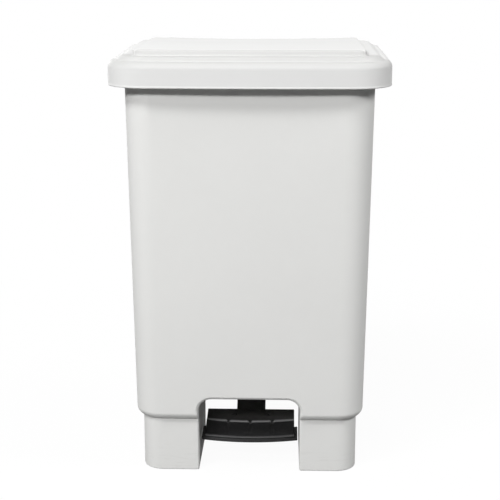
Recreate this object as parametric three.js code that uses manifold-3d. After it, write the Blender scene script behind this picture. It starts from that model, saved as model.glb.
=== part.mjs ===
// Step-on trash can: a tapered tub on four legs, a hinged lid, a foot pedal, its lever and a lift rod.
// Millimetres, +Z up, the front faces -Y. The origin is on the floor under the middle of the lid.
import * as THREE from "three";
import { mergeVertices } from "three/addons/utils/BufferGeometryUtils.js";
import Module from "manifold-3d";

const wasm = await Module();
wasm.setup();

// Driving dimensions: fits and facets
const running_gap = 0.3; // between pieces that touch, seat or turn on each other
const overrun = 2; // how far a cutter runs past the face that it cuts
const embed = 1; // how far a rib or boss runs into the wall that carries it
const corner_steps = 5; // facets round a plan corner
const round_steps = 16; // facets round a turned piece
const bow_steps = 6; // facets along the lid's bowed front edge
const edge_steps = 3; // facets over a rounded edge

// Driving dimensions: tub
const tub_half_width_top = 183;
const tub_half_width_bottom = 175;
const tub_depth_top = 325;
const tub_depth_bottom = 312;
const tub_set_back_top = 0.5; // from the origin to the middle of the tub's depth
const tub_set_back_bottom = 1;
const tub_corner_radius = 42;
const tub_wall = 3.5;
const tub_underside_height = 84;
const lower_edge_radius = 13; // height of the rounded lower edge
const rim_height = 621.5;
const rim_width = 12; // flange outside the tub wall
const rear_rim_width = 4;
const rim_depth = 20; // height of the flange's turned-down lip
const rim_thickness = 5;
const rim_lip = 3;
const rabbet_width = 4.5; // seat for the liner's rim
const rabbet_depth = 4.5;

// Driving dimensions: legs and the arch for the foot
const leg_inset = 10; // from the tub's lower edge to the legs
const leg_front_inset = 8;
const arch_half_width = 77.5;
const arch_height = 117;
const arch_corner_radius = 20;
const front_leg_depth = 147;
const rear_leg_depth = 84;
const rear_leg_set_in = 15; // how much further out the rear legs stand
const leg_corner_radius = 9;
const foot_edge_radius = 4;

// Driving dimensions: channel for the lift rod in the rear wall
const channel_half_width = 20;
const channel_depth = 14.5; // from the rod's line to the channel's floor
const channel_corner_radius = 6;

// Driving dimensions: lid
const lid_wall = 3;
const lid_side_clearance = 8.5; // from the rim flange to the skirt
const lid_front_clearance = 7.5;
const lid_corner_radius = 58;
const lid_bow = 5; // how far the front edge bows forward in the middle
const skirt_height = 25.5;
const shoulder_radius = 10;
const step_inset = 19;
const step_height = 6;
const step_slope = 1.5;
const panel_side_margin = 37;
const panel_end_margin = 42;
const panel_corner_radius = 12;
const panel_rise = 8.5;
const panel_edge_radius = 3;
const panel_rear_drop = 3.3;
const panel_dish = 2.8;
const panel_ring_shares = [1, 0.72, 0.42]; // rings of the dished panel, as shares of its outline
const lid_opening = THREE.MathUtils.degToRad(75);

// Driving dimensions: bumpers
const bumper_height = 5.7;
const bumper_radius = 4.5;
const bumper_spacing = 240;
const bumper_peg_radius = 2.2;
const bumper_peg_length = 3;

// Driving dimensions: hinges
const hinge_spacing = 180;
const hinge_set_back = 11; // from the rear wall at the rim to the hinge axis
const hinge_drop = 21.5; // from the rim's top to the hinge axis
const ear_radius = 7;
const ear_thickness = 8;
const ear_gusset = 24;
const knuckle_width = 14;
const hinge_side_gap = 0.5;
const hinge_skirt_gap = 0.5;
const hinge_notch_gap = 3;
const pin_radius = 3;
const pin_head_radius = 5.4;
const pin_head_thickness = 2;
const pin_end = 2; // how far the pin stands out past the inner ear

// Driving dimensions: lift rod, its slot in the lid and its clips
const rod_radius = 2.5;
const rod_offset = 20; // least distance from the hinge axis to the rod's line
const rod_wall_inset = 3; // least distance from the rear wall's lower end to the rod's line
const rod_side_shift = 13; // the rod stands beside the tab and the lever
const rod_bend_radius = 6;
const tab_half_width = 4;
const tab_margin = 4.2; // plate left round the slot
const slot_side_clearance = 1.3;
const slot_end_clearance = 0.8;
const tab_web_width = 14;
const clip_radius = 5;
const clip_thickness = 3;
const rod_end = 1.5;

// Driving dimensions: lever, axle and bushes
const pivot_set_back = 57; // from the tread's rear edge
const pivot_height = 76;
const hub_radius = 11;
const arm_half_width = 21;
const arm_front_depth = 10.5;
const arm_slope_length = 33; // from the hub to the arm's level stretch
const arm_slope_crown = 3.7; // how far the arm stands above the hub's middle there
const arm_step_rise = 5.5; // behind the tread, where the arm steps up
const head_half_width = 36;
const head_thickness = 7;
const bar_half_width = 8;
const bar_half_height = 7.5;
const eye_radius = 9;
const eye_clearance = 1.2;
const axle_radius = 4;
const bush_wall = 2.4;
const bush_length = 10;
const bush_flange_width = 2.4;
const bush_flange_thickness = 1.5;
const hanger_thickness = 6;
const hanger_half_length = 12;
const cap_radius = 8;
const cap_thickness = 5;
const cap_floor = 1.5;

// Driving dimensions: pedal tread
const tread_recess = 10; // behind the front of the legs
const tread_depth = 90;
const tread_half_width = 69.5;
const tread_flange_half_width = 74.5;
const tread_flange_depth = 34;
const tread_flange_thickness = 5;
const tread_bow = 10.5;
const tread_wall = 4;
const tread_lip_height = 41.5;
const tread_lip_crest = 50.5;
const tread_hollow_height = 48;
const tread_hollow_set_back = 13;
const tread_crest_height = 60;
const tread_crest_set_back = 46;
const tread_crest_half_width = 4.5;
const tread_crest_rise = 2.2;
const tread_rear_height = 62.5;
const tread_round = 3;
const tread_stations_shares = [-1, -0.75, -0.5, -0.25, 0, 0.25, 0.5, 0.75, 1]; // across the tread
const tread_groove_pitch = 34.5;
const tread_groove_width = 2;
const tread_grooves = 3;

// Driving dimensions: screws
const screw_radius = 1.8;
const screw_head_radius = 3.8;
const screw_head_height = 1.6;
const tread_screw_spacing = 52;
const tread_screw_set_back = 70; // from the tread's front
const tread_screw_length = 12;
const guide_screw_spacing = 54;
const guide_screw_length = 9;

// Driving dimensions: rod guides
const guide_heights = [200, 430];
const guide_half_height = 8;
const guide_plate_thickness = 3;
const guide_plate_half_width = 33;
const guide_block_margin = 3.6; // block left round the rod

// Driving dimensions: inner liner
const liner_wall = 2.2;
const liner_gap_top = 7; // from the tub's inner wall
const liner_gap_bottom = 12;
const liner_flange_thickness = 3;
const liner_corner_radius = 34;
const liner_rear_gap = 2.5;

// Places worked out from the driving dimensions
const tub_front_top = tub_depth_top / 2 - tub_set_back_top;
const tub_front_bottom = tub_depth_bottom / 2 - tub_set_back_bottom;
const tub_rear_top = tub_depth_top / 2 + tub_set_back_top;
const tub_rear_bottom = tub_depth_bottom / 2 + tub_set_back_bottom;
const leg_height = tub_underside_height + lower_edge_radius;
const lid_roof_height = rim_height + running_gap + bumper_height;
const lid_ledge_height = lid_roof_height + lid_wall;
const lid_skirt_top = lid_ledge_height - shoulder_radius;
const lid_bottom = lid_skirt_top - skirt_height;
const lid_step_top = lid_ledge_height + step_height;
const lid_top = lid_step_top + panel_rise;
const lid_half_width = tub_half_width_top + rim_width + lid_side_clearance + lid_wall;
const lid_front = tub_front_top + rim_width + lid_front_clearance + lid_wall;
const hinge_y = tub_rear_top + hinge_set_back;
const hinge_height = rim_height - hinge_drop;
const lid_rear = hinge_y + ear_radius + hinge_skirt_gap + lid_wall;
const rod_y = Math.min(hinge_y - rod_offset, tub_rear_bottom - rod_wall_inset);
const rod_arm = hinge_y - rod_y;
const channel_floor_y = rod_y - channel_depth;
const half_opening = lid_opening / 2;
const rod_half_travel = rod_arm * Math.tan(half_opening);
const rod_reach = rod_arm / Math.cos(half_opening);
const rod_top = hinge_height - rod_half_travel;
const eye_height = pivot_height - rod_half_travel;
const leg_front_y = leg_front_inset - tub_front_bottom;
const tread_front_y = leg_front_y + tread_recess;
const tread_rear_y = tread_front_y + tread_depth;
const tread_crest_y = tread_front_y + tread_crest_set_back;
const pivot_y = tread_rear_y + pivot_set_back;

// Axes, and the matrices that turn a shape or a turned piece to face along one
const along_x = new THREE.Vector3(1, 0, 0);
const along_y = new THREE.Vector3(0, 1, 0);
const along_z = new THREE.Vector3(0, 0, 1);
const profile_to_x = new THREE.Matrix4().makeBasis(along_y, along_z, along_x);
const turned_to_x = new THREE.Matrix4().makeBasis(along_z, along_x, along_y);
const turned_to_z = new THREE.Matrix4().makeBasis(along_x, along_z, along_y.clone().negate());

// A closed mesh as a solid for joining and cutting, and back again
function toSolid(geometry) {
  const plain = geometry.clone();
  plain.deleteAttribute("normal");
  plain.deleteAttribute("uv");
  const merged = mergeVertices(plain);
  const vertProperties = new Float32Array(merged.attributes.position.array);
  const triVerts = new Uint32Array(merged.index.array);
  return new wasm.Manifold(new wasm.Mesh({ numProp: 3, vertProperties, triVerts }));
}

function toGeometry(solid) {
  const { numProp, vertProperties, triVerts } = solid.getMesh();
  const geometry = new THREE.BufferGeometry();
  geometry.setAttribute("position", new THREE.BufferAttribute(new Float32Array(vertProperties), numProp));
  geometry.setIndex(new THREE.BufferAttribute(new Uint32Array(triVerts), 1));
  geometry.computeVertexNormals();
  return geometry;
}

function join(first, ...others) {
  return others.reduce((solid, other) => solid.add(toSolid(other)), toSolid(first));
}

function cut(solid, ...cutters) {
  return cutters.reduce((left, cutter) => left.subtract(toSolid(cutter)), solid);
}

// Turns from 0 to a quarter, for the facets over a rounded edge
const quarter_turns = Array.from({ length: edge_steps + 1 }, (_, step) => (step * Math.PI) / (edge_steps * 2));

// A plan outline with four corner radii, counterclockwise from the rear right corner
const corner_names = ["rear_right", "rear_left", "front_left", "front_right"];

function roundedRing(x0, x1, y0, y1, radii, heightAt) {
  const [rear_right, rear_left, front_left, front_right] = radii;
  const corners = [
    [x1 - rear_right, y1 - rear_right, rear_right],
    [x0 + rear_left, y1 - rear_left, rear_left],
    [x0 + front_left, y0 + front_left, front_left],
    [x1 - front_right, y0 + front_right, front_right],
  ];
  return corners.flatMap(([cx, cy, radius], corner) =>
    Array.from({ length: corner_steps + 1 }, (_, step) => {
      const angle = ((corner + step / corner_steps) * Math.PI) / 2;
      const x = cx + radius * Math.cos(angle);
      const y = cy + radius * Math.sin(angle);
      return new THREE.Vector3(x, y, heightAt(x, y));
    }),
  );
}

const fourTimes = (radius) => [radius, radius, radius, radius];
const level = (height) => () => height;
const onPlan = (point) => new THREE.Vector2(point.x, point.y);
const onSide = (point) => new THREE.Vector2(point.y, point.z);

// A closed surface through rings of equal counts, with flat-triangulated ends
function loft(rings, flatten) {
  const count = rings[0].length;
  const last = (rings.length - 1) * count;
  const index = [];
  for (let start = 0; start < last; start += count) {
    for (let step = 0; step < count; step += 1) {
      const here = start + step;
      const next = start + ((step + 1) % count);
      index.push(here, next, next + count, here, next + count, here + count);
    }
  }
  const first_cap = THREE.ShapeUtils.triangulateShape(rings[0].map(flatten), []);
  const last_cap = THREE.ShapeUtils.triangulateShape(rings[rings.length - 1].map(flatten), []);
  first_cap.forEach(([a, b, c]) => index.push(a, c, b));
  last_cap.forEach(([a, b, c]) => index.push(last + a, last + b, last + c));
  const geometry = new THREE.BufferGeometry().setFromPoints(rings.flat());
  geometry.setIndex(index);
  return geometry;
}

function box(x0, x1, y0, y1, z0, z1) {
  const geometry = new THREE.BoxGeometry(x1 - x0, y1 - y0, z1 - z0);
  return geometry.translate((x0 + x1) / 2, (y0 + y1) / 2, (z0 + z1) / 2);
}

// A side profile in Y and Z, extruded from x0 to x1
function extrudeX(shape, x0, x1) {
  const settings = { depth: x1 - x0, bevelEnabled: false, curveSegments: round_steps / 2 };
  return new THREE.ExtrudeGeometry(shape, settings).applyMatrix4(profile_to_x).translate(x0, 0, 0);
}

function polygon(points) {
  return new THREE.Shape(points.map(([y, z]) => new THREE.Vector2(y, z)));
}

function disc(y, z, radius) {
  return new THREE.Shape().absarc(y, z, radius, 0, Math.PI * 2);
}

const barX = (y, z, radius, x0, x1) => extrudeX(disc(y, z, radius), x0, x1);

// A turned piece: its profile is radius and distance along the axis
function turned(profile, matrix) {
  const points = profile.map(([radius, along]) => new THREE.Vector2(radius, along));
  return new THREE.LatheGeometry(points, round_steps).applyMatrix4(matrix);
}

const mirrored = (side, low, high) => (side > 0 ? [low, high] : [-high, -low]);

// Tub
const rise = rim_height - tub_underside_height;
const mixAt = (z, low, high) => low + ((high - low) * (z - tub_underside_height)) / rise;
const tubHalfWidth = (z) => mixAt(z, tub_half_width_bottom, tub_half_width_top);
const tubFront = (z) => mixAt(z, tub_front_bottom, tub_front_top);
const tubRear = (z) => mixAt(z, tub_rear_bottom, tub_rear_top);

function tubRing(z, inset) {
  const half = tubHalfWidth(z) - inset;
  const radii = fourTimes(tub_corner_radius - inset);
  return roundedRing(-half, half, inset - tubFront(z), tubRear(z) - inset, radii, level(z));
}

function rimRing(z, outset) {
  const half = tub_half_width_top + outset;
  const rear = tub_rear_top + Math.min(outset, rear_rim_width);
  const radii = fourTimes(tub_corner_radius + outset);
  return roundedRing(-half, half, -tub_front_top - outset, rear, radii, level(z));
}

// The lower edge turns in towards the legs on a quarter ellipse
function lowerEdgeRings() {
  return quarter_turns.toReversed().map((turn) => {
    const z = tub_underside_height + lower_edge_radius * (1 - Math.sin(turn));
    return tubRing(z, leg_inset * (1 - Math.cos(turn)));
  });
}

function legRing(side, rear, z, inset) {
  const outer = tub_half_width_bottom - leg_inset - inset;
  const inner = arch_half_width + (rear ? rear_leg_set_in : 0) + inset;
  const [x0, x1] = mirrored(side, inner, outer);
  const front_y = rear ? tub_rear_bottom - leg_inset - rear_leg_depth + inset : leg_front_y + inset;
  const rear_y = rear ? tub_rear_bottom - leg_inset - inset : leg_front_y + front_leg_depth - inset;
  const outer_corner = corner_names.indexOf(`${rear ? "rear" : "front"}_${side > 0 ? "right" : "left"}`);
  const radii = fourTimes(leg_corner_radius - inset);
  radii[outer_corner] = tub_corner_radius - leg_inset - inset;
  return roundedRing(x0, x1, front_y, rear_y, radii, level(z));
}

function archCutter(grow, front, rear) {
  const half = arch_half_width + grow;
  const radius = arch_corner_radius + grow;
  const shape = new THREE.Shape();
  shape.moveTo(-half, -overrun);
  shape.lineTo(half, -overrun);
  shape.lineTo(half, arch_height + grow - radius);
  shape.absarc(half - radius, arch_height + grow - radius, radius, 0, Math.PI / 2);
  shape.absarc(radius - half, arch_height + grow - radius, radius, Math.PI / 2, Math.PI);
  const settings = { depth: rear - front, bevelEnabled: false, curveSegments: corner_steps };
  const geometry = new THREE.ExtrudeGeometry(shape, settings);
  return geometry.rotateX(Math.PI / 2).translate(0, rear, 0);
}

function channelCutter(grow, bottom, top) {
  const half = channel_half_width + grow;
  const rear = tub_rear_top + rim_width;
  const corner = channel_corner_radius + grow;
  const radii = fourTimes(corner);
  const ringAt = (z) => roundedRing(-half, half, channel_floor_y - grow, rear + corner, radii, level(z));
  return loft([ringAt(bottom), ringAt(top)], onPlan);
}

function hangerShape() {
  const shape = new THREE.Shape();
  shape.moveTo(pivot_y + hanger_half_length, pivot_height);
  shape.lineTo(pivot_y + hanger_half_length, arch_height + embed);
  shape.lineTo(pivot_y - hanger_half_length, arch_height + embed);
  shape.lineTo(pivot_y - hanger_half_length, pivot_height);
  shape.absarc(pivot_y, pivot_height, hanger_half_length, Math.PI, Math.PI * 2);
  return shape;
}

function earShape() {
  const wall_y = tub_rear_top - embed;
  const shape = new THREE.Shape();
  shape.moveTo(hinge_y, hinge_height + ear_radius);
  shape.lineTo(wall_y, hinge_height + ear_radius);
  shape.lineTo(wall_y, hinge_height - ear_gusset);
  shape.lineTo(hinge_y, hinge_height - ear_radius);
  shape.absarc(hinge_y, hinge_height, ear_radius, -Math.PI / 2, Math.PI / 2);
  return shape;
}

const hub_end = arm_half_width;
const flange_start = hub_end + running_gap;
const hanger_start = flange_start + bush_flange_thickness + running_gap;
const hanger_end = hanger_start + hanger_thickness;
const cap_start = hanger_end + running_gap;
const axle_end = cap_start + cap_thickness - cap_floor - running_gap;
const bore_radius = axle_radius + running_gap;

// Ears and knuckle of one hinge, as spans along X
function hingeSpans(side) {
  const middle = hinge_spacing / 2;
  const knuckle = knuckle_width / 2;
  const ear_in = knuckle + hinge_side_gap;
  return {
    inner_ear: mirrored(side, middle - ear_in - ear_thickness, middle - ear_in),
    knuckle: mirrored(side, middle - knuckle, middle + knuckle),
    outer_ear: mirrored(side, middle + ear_in, middle + ear_in + ear_thickness),
  };
}

function makeTub() {
  const rim_bottom = rim_height - rim_depth;
  const under_rim = rim_height - rim_thickness;
  const outer = loft([...lowerEdgeRings(), tubRing(rim_height, 0)], onPlan);
  const rim = loft([rimRing(rim_bottom, rim_width), rimRing(rim_height, rim_width)], onPlan);
  const legs = [-1, 1].flatMap((side) =>
    [false, true].map((rear) =>
      loft(
        [
          legRing(side, rear, 0, foot_edge_radius / 2),
          legRing(side, rear, foot_edge_radius, 0),
          legRing(side, rear, leg_height, 0),
        ],
        onPlan,
      ),
    ),
  );
  const pockets = [-1, 1].flatMap((side) =>
    [false, true].map((rear) =>
      loft([legRing(side, rear, tub_wall, tub_wall), legRing(side, rear, leg_height, tub_wall)], onPlan),
    ),
  );
  // The hollow under the rim lip, between the lip and the tub wall
  const inside_lip = rim_width - rim_lip;
  const lip_hollow = cut(
    toSolid(loft([rimRing(rim_bottom - overrun, inside_lip), rimRing(under_rim, inside_lip)], onPlan)),
    loft([tubRing(rim_bottom - overrun * 2, 0), tubRing(rim_height, 0)], onPlan),
  );

  const floor_z = tub_underside_height + tub_wall;
  const inside = loft([tubRing(floor_z, leg_inset + tub_wall), tubRing(leg_height, tub_wall),
    tubRing(rim_height + overrun, tub_wall)], onPlan);
  const rabbet = loft([rimRing(rim_height - rabbet_depth, rabbet_width - tub_wall),
    rimRing(rim_height + overrun, rabbet_width - tub_wall)], onPlan);
  const arch_front = -tub_front_top - overrun;
  const arch_rear = tub_rear_top + overrun;
  const channel_bottom = arch_height;
  const thick_arch = archCutter(tub_wall, arch_front, arch_rear);
  const thick_channel = channelCutter(tub_wall, channel_bottom, rim_height + overrun);
  const cavity = cut(join(inside, ...pockets), thick_arch, thick_channel).add(
    cut(toSolid(rabbet), thick_channel),
  );

  let tub = join(outer, rim, ...legs).subtract(lip_hollow);
  tub = cut(tub, archCutter(0, arch_front, arch_rear)).subtract(cavity);
  tub = cut(tub, channelCutter(0, channel_bottom - overrun, rim_height + overrun));

  for (const side of [-1, 1]) {
    const hanger = extrudeX(hangerShape(), ...mirrored(side, hanger_start, hanger_end));
    tub = tub.add(toSolid(hanger));
    const { inner_ear, outer_ear } = hingeSpans(side);
    for (const span of [inner_ear, outer_ear]) {
      tub = tub.add(toSolid(extrudeX(earShape(), ...span)));
    }
    const reach = hinge_spacing / 2 + knuckle_width + ear_thickness + overrun;
    tub = cut(tub, barX(hinge_y, hinge_height, pin_radius + running_gap, ...mirrored(side, 0, reach)));
    tub = cut(tub, barX(pivot_y, pivot_height, bore_radius, ...mirrored(side, 0, cap_start)));
    for (const height of guide_heights) {
      tub = cut(tub, guideScrewHole(side, height));
    }
  }
  return tub;
}

// The rear wall's furthest reach behind a guide
const guideSeat = (height) => Math.max(...[-1, 1].map((end) => tubRear(height + end * guide_half_height)));

function guideScrewHole(side, height) {
  const hole = screw_radius + running_gap;
  const seat = guideSeat(height) - tub_wall - overrun;
  const length = tub_wall + guide_plate_thickness + overrun * 2;
  const geometry = new THREE.CylinderGeometry(hole, hole, length, round_steps / 2);
  return geometry.translate((side * guide_screw_spacing) / 2, seat + length / 2, height);
}

// Lid: the front edge of each ring gets points of its own, so that it bows
function bowed(ring) {
  const front_start = (corner_steps + 1) * corner_names.indexOf("front_right") - 1;
  const front_edge = Array.from({ length: bow_steps - 1 }, (_, step) =>
    ring[front_start].clone().lerp(ring[front_start + 1], (step + 1) / bow_steps),
  );
  return ring.toSpliced(front_start + 1, 0, ...front_edge).map((point) => {
    const share = THREE.MathUtils.clamp(-point.y / lid_front, 0, 1);
    const across = point.x / lid_half_width;
    return new THREE.Vector3(point.x, point.y + lid_bow * share * across * across, point.z);
  });
}

function lidRing(inset, z) {
  const half = lid_half_width - inset;
  const radii = fourTimes(lid_corner_radius - inset);
  return bowed(roundedRing(-half, half, inset - lid_front, lid_rear - inset, radii, level(z)));
}

const panel_half_width = lid_half_width - panel_side_margin;
const panel_half_depth = (lid_front + lid_rear) / 2 - panel_end_margin;
const panel_middle = (lid_rear - lid_front) / 2;

// How far the panel lies below its front edge: it falls to the rear and is dished in the middle
function panelDrop(x, y) {
  const back = THREE.MathUtils.clamp((y - panel_middle + panel_half_depth) / (panel_half_depth * 2), 0, 1);
  const across = x / panel_half_width;
  return back * (panel_rear_drop + panel_dish * Math.max(0, 1 - across * across));
}

function panelRing(inset, heightAt, share) {
  const half_x = (panel_half_width - inset) * share;
  const half_y = (panel_half_depth - inset) * share;
  const radii = fourTimes(Math.max(panel_corner_radius - inset, panel_edge_radius) * share);
  return bowed(roundedRing(-half_x, half_x, panel_middle - half_y, panel_middle + half_y, radii, heightAt));
}

// The rings of the lid's outer face, or of its inner face when it is offset by the wall
function lidRings(offset) {
  const arc_radius = shoulder_radius - offset;
  const shoulder = quarter_turns.map((turn) =>
    lidRing(shoulder_radius - arc_radius * Math.cos(turn), lid_skirt_top + arc_radius * Math.sin(turn)),
  );
  const skin = (x, y) => lid_top - offset - panelDrop(x, y);
  return [
    lidRing(offset, lid_bottom - (offset > 0 ? overrun : 0)),
    ...shoulder,
    lidRing(step_inset + offset, lid_ledge_height - offset),
    lidRing(step_inset + step_slope + offset, lid_step_top - offset),
    panelRing(offset, level(lid_step_top - offset), 1),
    panelRing(offset + panel_edge_radius / 2, (x, y) => skin(x, y) - panel_edge_radius / 2, 1),
    ...panel_ring_shares.map((share) => panelRing(offset + panel_edge_radius, skin, share)),
  ];
}

// The slot that the rod's hook runs in lies along a line through the hinge axis
function slotShape(half_width, margin) {
  const near = rod_arm - slot_end_clearance;
  const far = rod_reach + slot_end_clearance;
  const direction = Math.PI + half_opening;
  const along = (reach) => [
    hinge_y + reach * Math.cos(direction),
    hinge_height + reach * Math.sin(direction),
  ];
  const [near_y, near_z] = along(near);
  const [far_y, far_z] = along(far);
  const radius = half_width + margin;
  const shape = new THREE.Shape();
  shape.absarc(near_y, near_z, radius, direction + Math.PI / 2, direction + Math.PI * 1.5);
  shape.absarc(far_y, far_z, radius, direction - Math.PI / 2, direction + Math.PI / 2);
  return shape;
}

function makeLid() {
  let lid = cut(toSolid(loft(lidRings(0), onPlan)), loft(lidRings(lid_wall), onPlan));
  const slot_half_width = rod_radius + slot_side_clearance;
  const tab_rear = rod_y + tab_web_width / 2;
  const web = (z0, z1) => box(-tab_half_width, tab_half_width, tab_rear - tab_web_width, tab_rear, z0, z1);
  const web_top = toSolid(web(lid_bottom, lid_top)).intersect(toSolid(loft(lidRings(lid_wall - embed), onPlan)));
  const plate = extrudeX(slotShape(slot_half_width, tab_margin), -tab_half_width, tab_half_width);
  const tab = join(plate, web(rod_top, lid_roof_height)).add(web_top);
  const slot = extrudeX(slotShape(slot_half_width, 0), -tab_half_width - overrun, tab_half_width + overrun);
  lid = lid.add(cut(tab, slot));

  for (const side of [-1, 1]) {
    const { inner_ear, knuckle, outer_ear } = hingeSpans(side);
    const x0 = Math.min(inner_ear[0], outer_ear[0]) - hinge_notch_gap;
    const x1 = Math.max(inner_ear[1], outer_ear[1]) + hinge_notch_gap;
    const notch_top = hinge_height + ear_radius + hinge_notch_gap;
    const notch_front = hinge_y - ear_radius;
    const notch = box(x0, x1, notch_front, lid_rear + overrun, lid_bottom - overrun, notch_top);
    const web_front = tub_rear_top + rear_rim_width + hinge_notch_gap;
    const web_top = lid_roof_height + embed;
    const knuckle_web = box(...knuckle, web_front, hinge_y + ear_radius, hinge_height, web_top);
    lid = cut(lid, notch);
    lid = lid.add(join(barX(hinge_y, hinge_height, ear_radius, ...knuckle), knuckle_web));
    lid = cut(lid, barX(hinge_y, hinge_height, pin_radius + running_gap, x0, x1));
    const peg_bottom = lid_roof_height - bumper_peg_length;
    const peg_top = lid_roof_height + embed;
    const peg = [[0, peg_bottom], [bumper_peg_radius, peg_bottom], [bumper_peg_radius, peg_top], [0, peg_top]];
    lid = lid.add(toSolid(turned(peg, turned_to_z).translate((side * bumper_spacing) / 2, bumper_y, 0)));
  }
  return lid;
}

// Bumpers sit on the front rim, close to the liner's seat, under the lid's lower roof
const bumper_y = -(tub_front_top + rabbet_width - tub_wall + bumper_radius + running_gap);

function makeBumper(side) {
  const bottom = rim_height + running_gap;
  const top = lid_roof_height - running_gap;
  const bore = bumper_peg_radius + running_gap;
  const bore_floor = lid_roof_height - bumper_peg_length - running_gap;
  const chamfer = bumper_peg_radius / 2;
  const profile = [[0, bottom], [bumper_radius - chamfer, bottom], [bumper_radius, bottom + chamfer],
    [bumper_radius, top], [bore, top], [bore, bore_floor], [0, bore_floor]];
  return turned(profile, turned_to_z).translate((side * bumper_spacing) / 2, bumper_y, 0);
}

function makeHingePin(side) {
  const reach = knuckle_width / 2 + hinge_side_gap + ear_thickness;
  const head = reach + running_gap;
  const head_end = head + pin_head_thickness;
  const chamfer = pin_head_thickness / 2;
  const profile = [[0, -reach - pin_end], [pin_radius - chamfer, -reach - pin_end],
    [pin_radius, chamfer - reach - pin_end], [pin_radius, head], [pin_head_radius, head],
    [pin_head_radius, head + chamfer], [pin_radius, head_end], [0, head_end]];
  const pin = turned(profile, turned_to_x);
  return (side > 0 ? pin : pin.rotateZ(Math.PI)).translate((side * hinge_spacing) / 2, hinge_y, hinge_height);
}

// Lift rod: straight down the channel, hooked to one side at both ends
class HookedWire extends THREE.Curve {
  constructor(low, high, low_end, high_end) {
    super();
    const bend = rod_bend_radius;
    const line = -rod_side_shift;
    const point = (x, z) => new THREE.Vector3(x, rod_y, z);
    this.runs = [
      { from: point(low_end, low), to: point(line + bend, low) },
      { middle: point(line + bend, low + bend), start: -Math.PI / 2 },
      { from: point(line, low + bend), to: point(line, high - bend) },
      { middle: point(line + bend, high - bend), start: -Math.PI },
      { from: point(line + bend, high), to: point(high_end, high) },
    ];
  }
  place(share) {
    const count = this.runs.length;
    const number = Math.min(Math.floor(share * count), count - 1);
    return { run: this.runs[number], within: share * count - number };
  }
  getPointAt(share) {
    const { run, within } = this.place(share);
    if (run.from) {
      return run.from.clone().lerp(run.to, within);
    }
    const angle = run.start - (within * Math.PI) / 2;
    const offset = new THREE.Vector3(Math.cos(angle), 0, Math.sin(angle));
    return run.middle.clone().addScaledVector(offset, rod_bend_radius);
  }
  getTangentAt(share) {
    const { run, within } = this.place(share);
    if (run.from) {
      return run.to.clone().sub(run.from).normalize();
    }
    const angle = run.start - (within * Math.PI) / 2;
    return new THREE.Vector3(Math.sin(angle), 0, -Math.cos(angle));
  }
}

const clipFace = (half_width) => half_width + running_gap;
const rodEnd = (half_width) => clipFace(half_width) + clip_thickness + rod_end;

function makeRod() {
  const path = new HookedWire(eye_height, rod_top, rodEnd(bar_half_width), rodEnd(tab_half_width));
  const section = new THREE.Shape().absarc(0, 0, rod_radius, 0, Math.PI * 2);
  const steps = path.runs.length * 5;
  const settings = { steps, extrudePath: path, curveSegments: corner_steps, bevelEnabled: false };
  return new THREE.ExtrudeGeometry(section, settings);
}

function makeClip(half_width, height) {
  const bore = rod_radius + running_gap;
  const start = clipFace(half_width);
  const middle = start + clip_thickness / 2;
  const rim = clip_radius - (clip_radius - bore) / 3;
  const profile = [[bore, start], [rim, start], [clip_radius, middle], [rim, start + clip_thickness],
    [bore, start + clip_thickness], [bore, start]];
  return turned(profile, turned_to_x).translate(0, rod_y, height);
}

// Rod guides: a plate across the channel with a block that holds the rod
function makeGuide(height) {
  const seat = guideSeat(height) + running_gap;
  const low = height - guide_half_height;
  const high = height + guide_half_height;
  const half = guide_plate_half_width;
  const plate = box(-half, half, seat, seat + guide_plate_thickness, low, high);
  const left = Math.max(-rod_side_shift - rod_radius - guide_block_margin, running_gap - channel_half_width);
  const right = rod_radius + guide_block_margin - rod_side_shift;
  const front = rod_y - rod_radius - guide_block_margin;
  const block = box(left, right, front, seat + guide_plate_thickness / 2, low, high);
  const hole = rod_radius + running_gap;
  const bore = new THREE.CylinderGeometry(hole, hole, (high - low) * 2, corner_steps * 2).rotateX(Math.PI / 2);
  const holes = [-1, 1].map((side) => guideScrewHole(side, height));
  return cut(join(plate, block), bore.translate(-rod_side_shift, rod_y, height), ...holes);
}

function screwProfile(length) {
  return [[0, -length], [screw_radius / 2, -length], [screw_radius, screw_radius - length], [screw_radius, 0],
    [screw_head_radius, 0], [screw_head_radius, screw_head_height / 2],
    [screw_head_radius / 2, screw_head_height], [0, screw_head_height]];
}

function makeGuideScrew(side, height) {
  const seat = guideSeat(height) + guide_plate_thickness + running_gap * 2;
  const screw = turned(screwProfile(guide_screw_length), new THREE.Matrix4());
  return screw.translate((side * guide_screw_spacing) / 2, seat, height);
}

// Tread: a side profile carried across the pedal, its front bowed forward in the middle
const tread_profile = [
  [tread_front_y, tread_lip_height],
  [tread_front_y + tread_wall, tread_lip_height],
  [tread_front_y + tread_wall + tread_round, tread_hollow_height - tread_wall],
  [tread_front_y + tread_hollow_set_back, tread_hollow_height - tread_wall],
  [tread_crest_y - tread_crest_half_width, tread_crest_height - tread_crest_rise - tread_wall],
  [tread_crest_y + tread_crest_half_width, tread_crest_height - tread_crest_rise - tread_wall],
  [tread_rear_y, tread_rear_height - tread_wall],
  [tread_rear_y, tread_rear_height],
  [tread_crest_y + tread_crest_half_width, tread_crest_height - tread_crest_rise],
  [tread_crest_y, tread_crest_height],
  [tread_crest_y - tread_crest_half_width, tread_crest_height - tread_crest_rise],
  [tread_front_y + tread_hollow_set_back, tread_hollow_height],
  [tread_front_y + tread_wall + tread_round / 2, tread_lip_crest - tread_round / 3],
  [tread_front_y + tread_round, tread_lip_crest],
  [tread_front_y, tread_lip_crest - tread_round],
];
const tread_flange_profile = [
  [tread_front_y, tread_lip_height],
  [tread_front_y + tread_flange_depth, tread_lip_height],
  [tread_front_y + tread_flange_depth, tread_lip_height + tread_flange_thickness],
  [tread_front_y, tread_lip_height + tread_flange_thickness],
];

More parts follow.
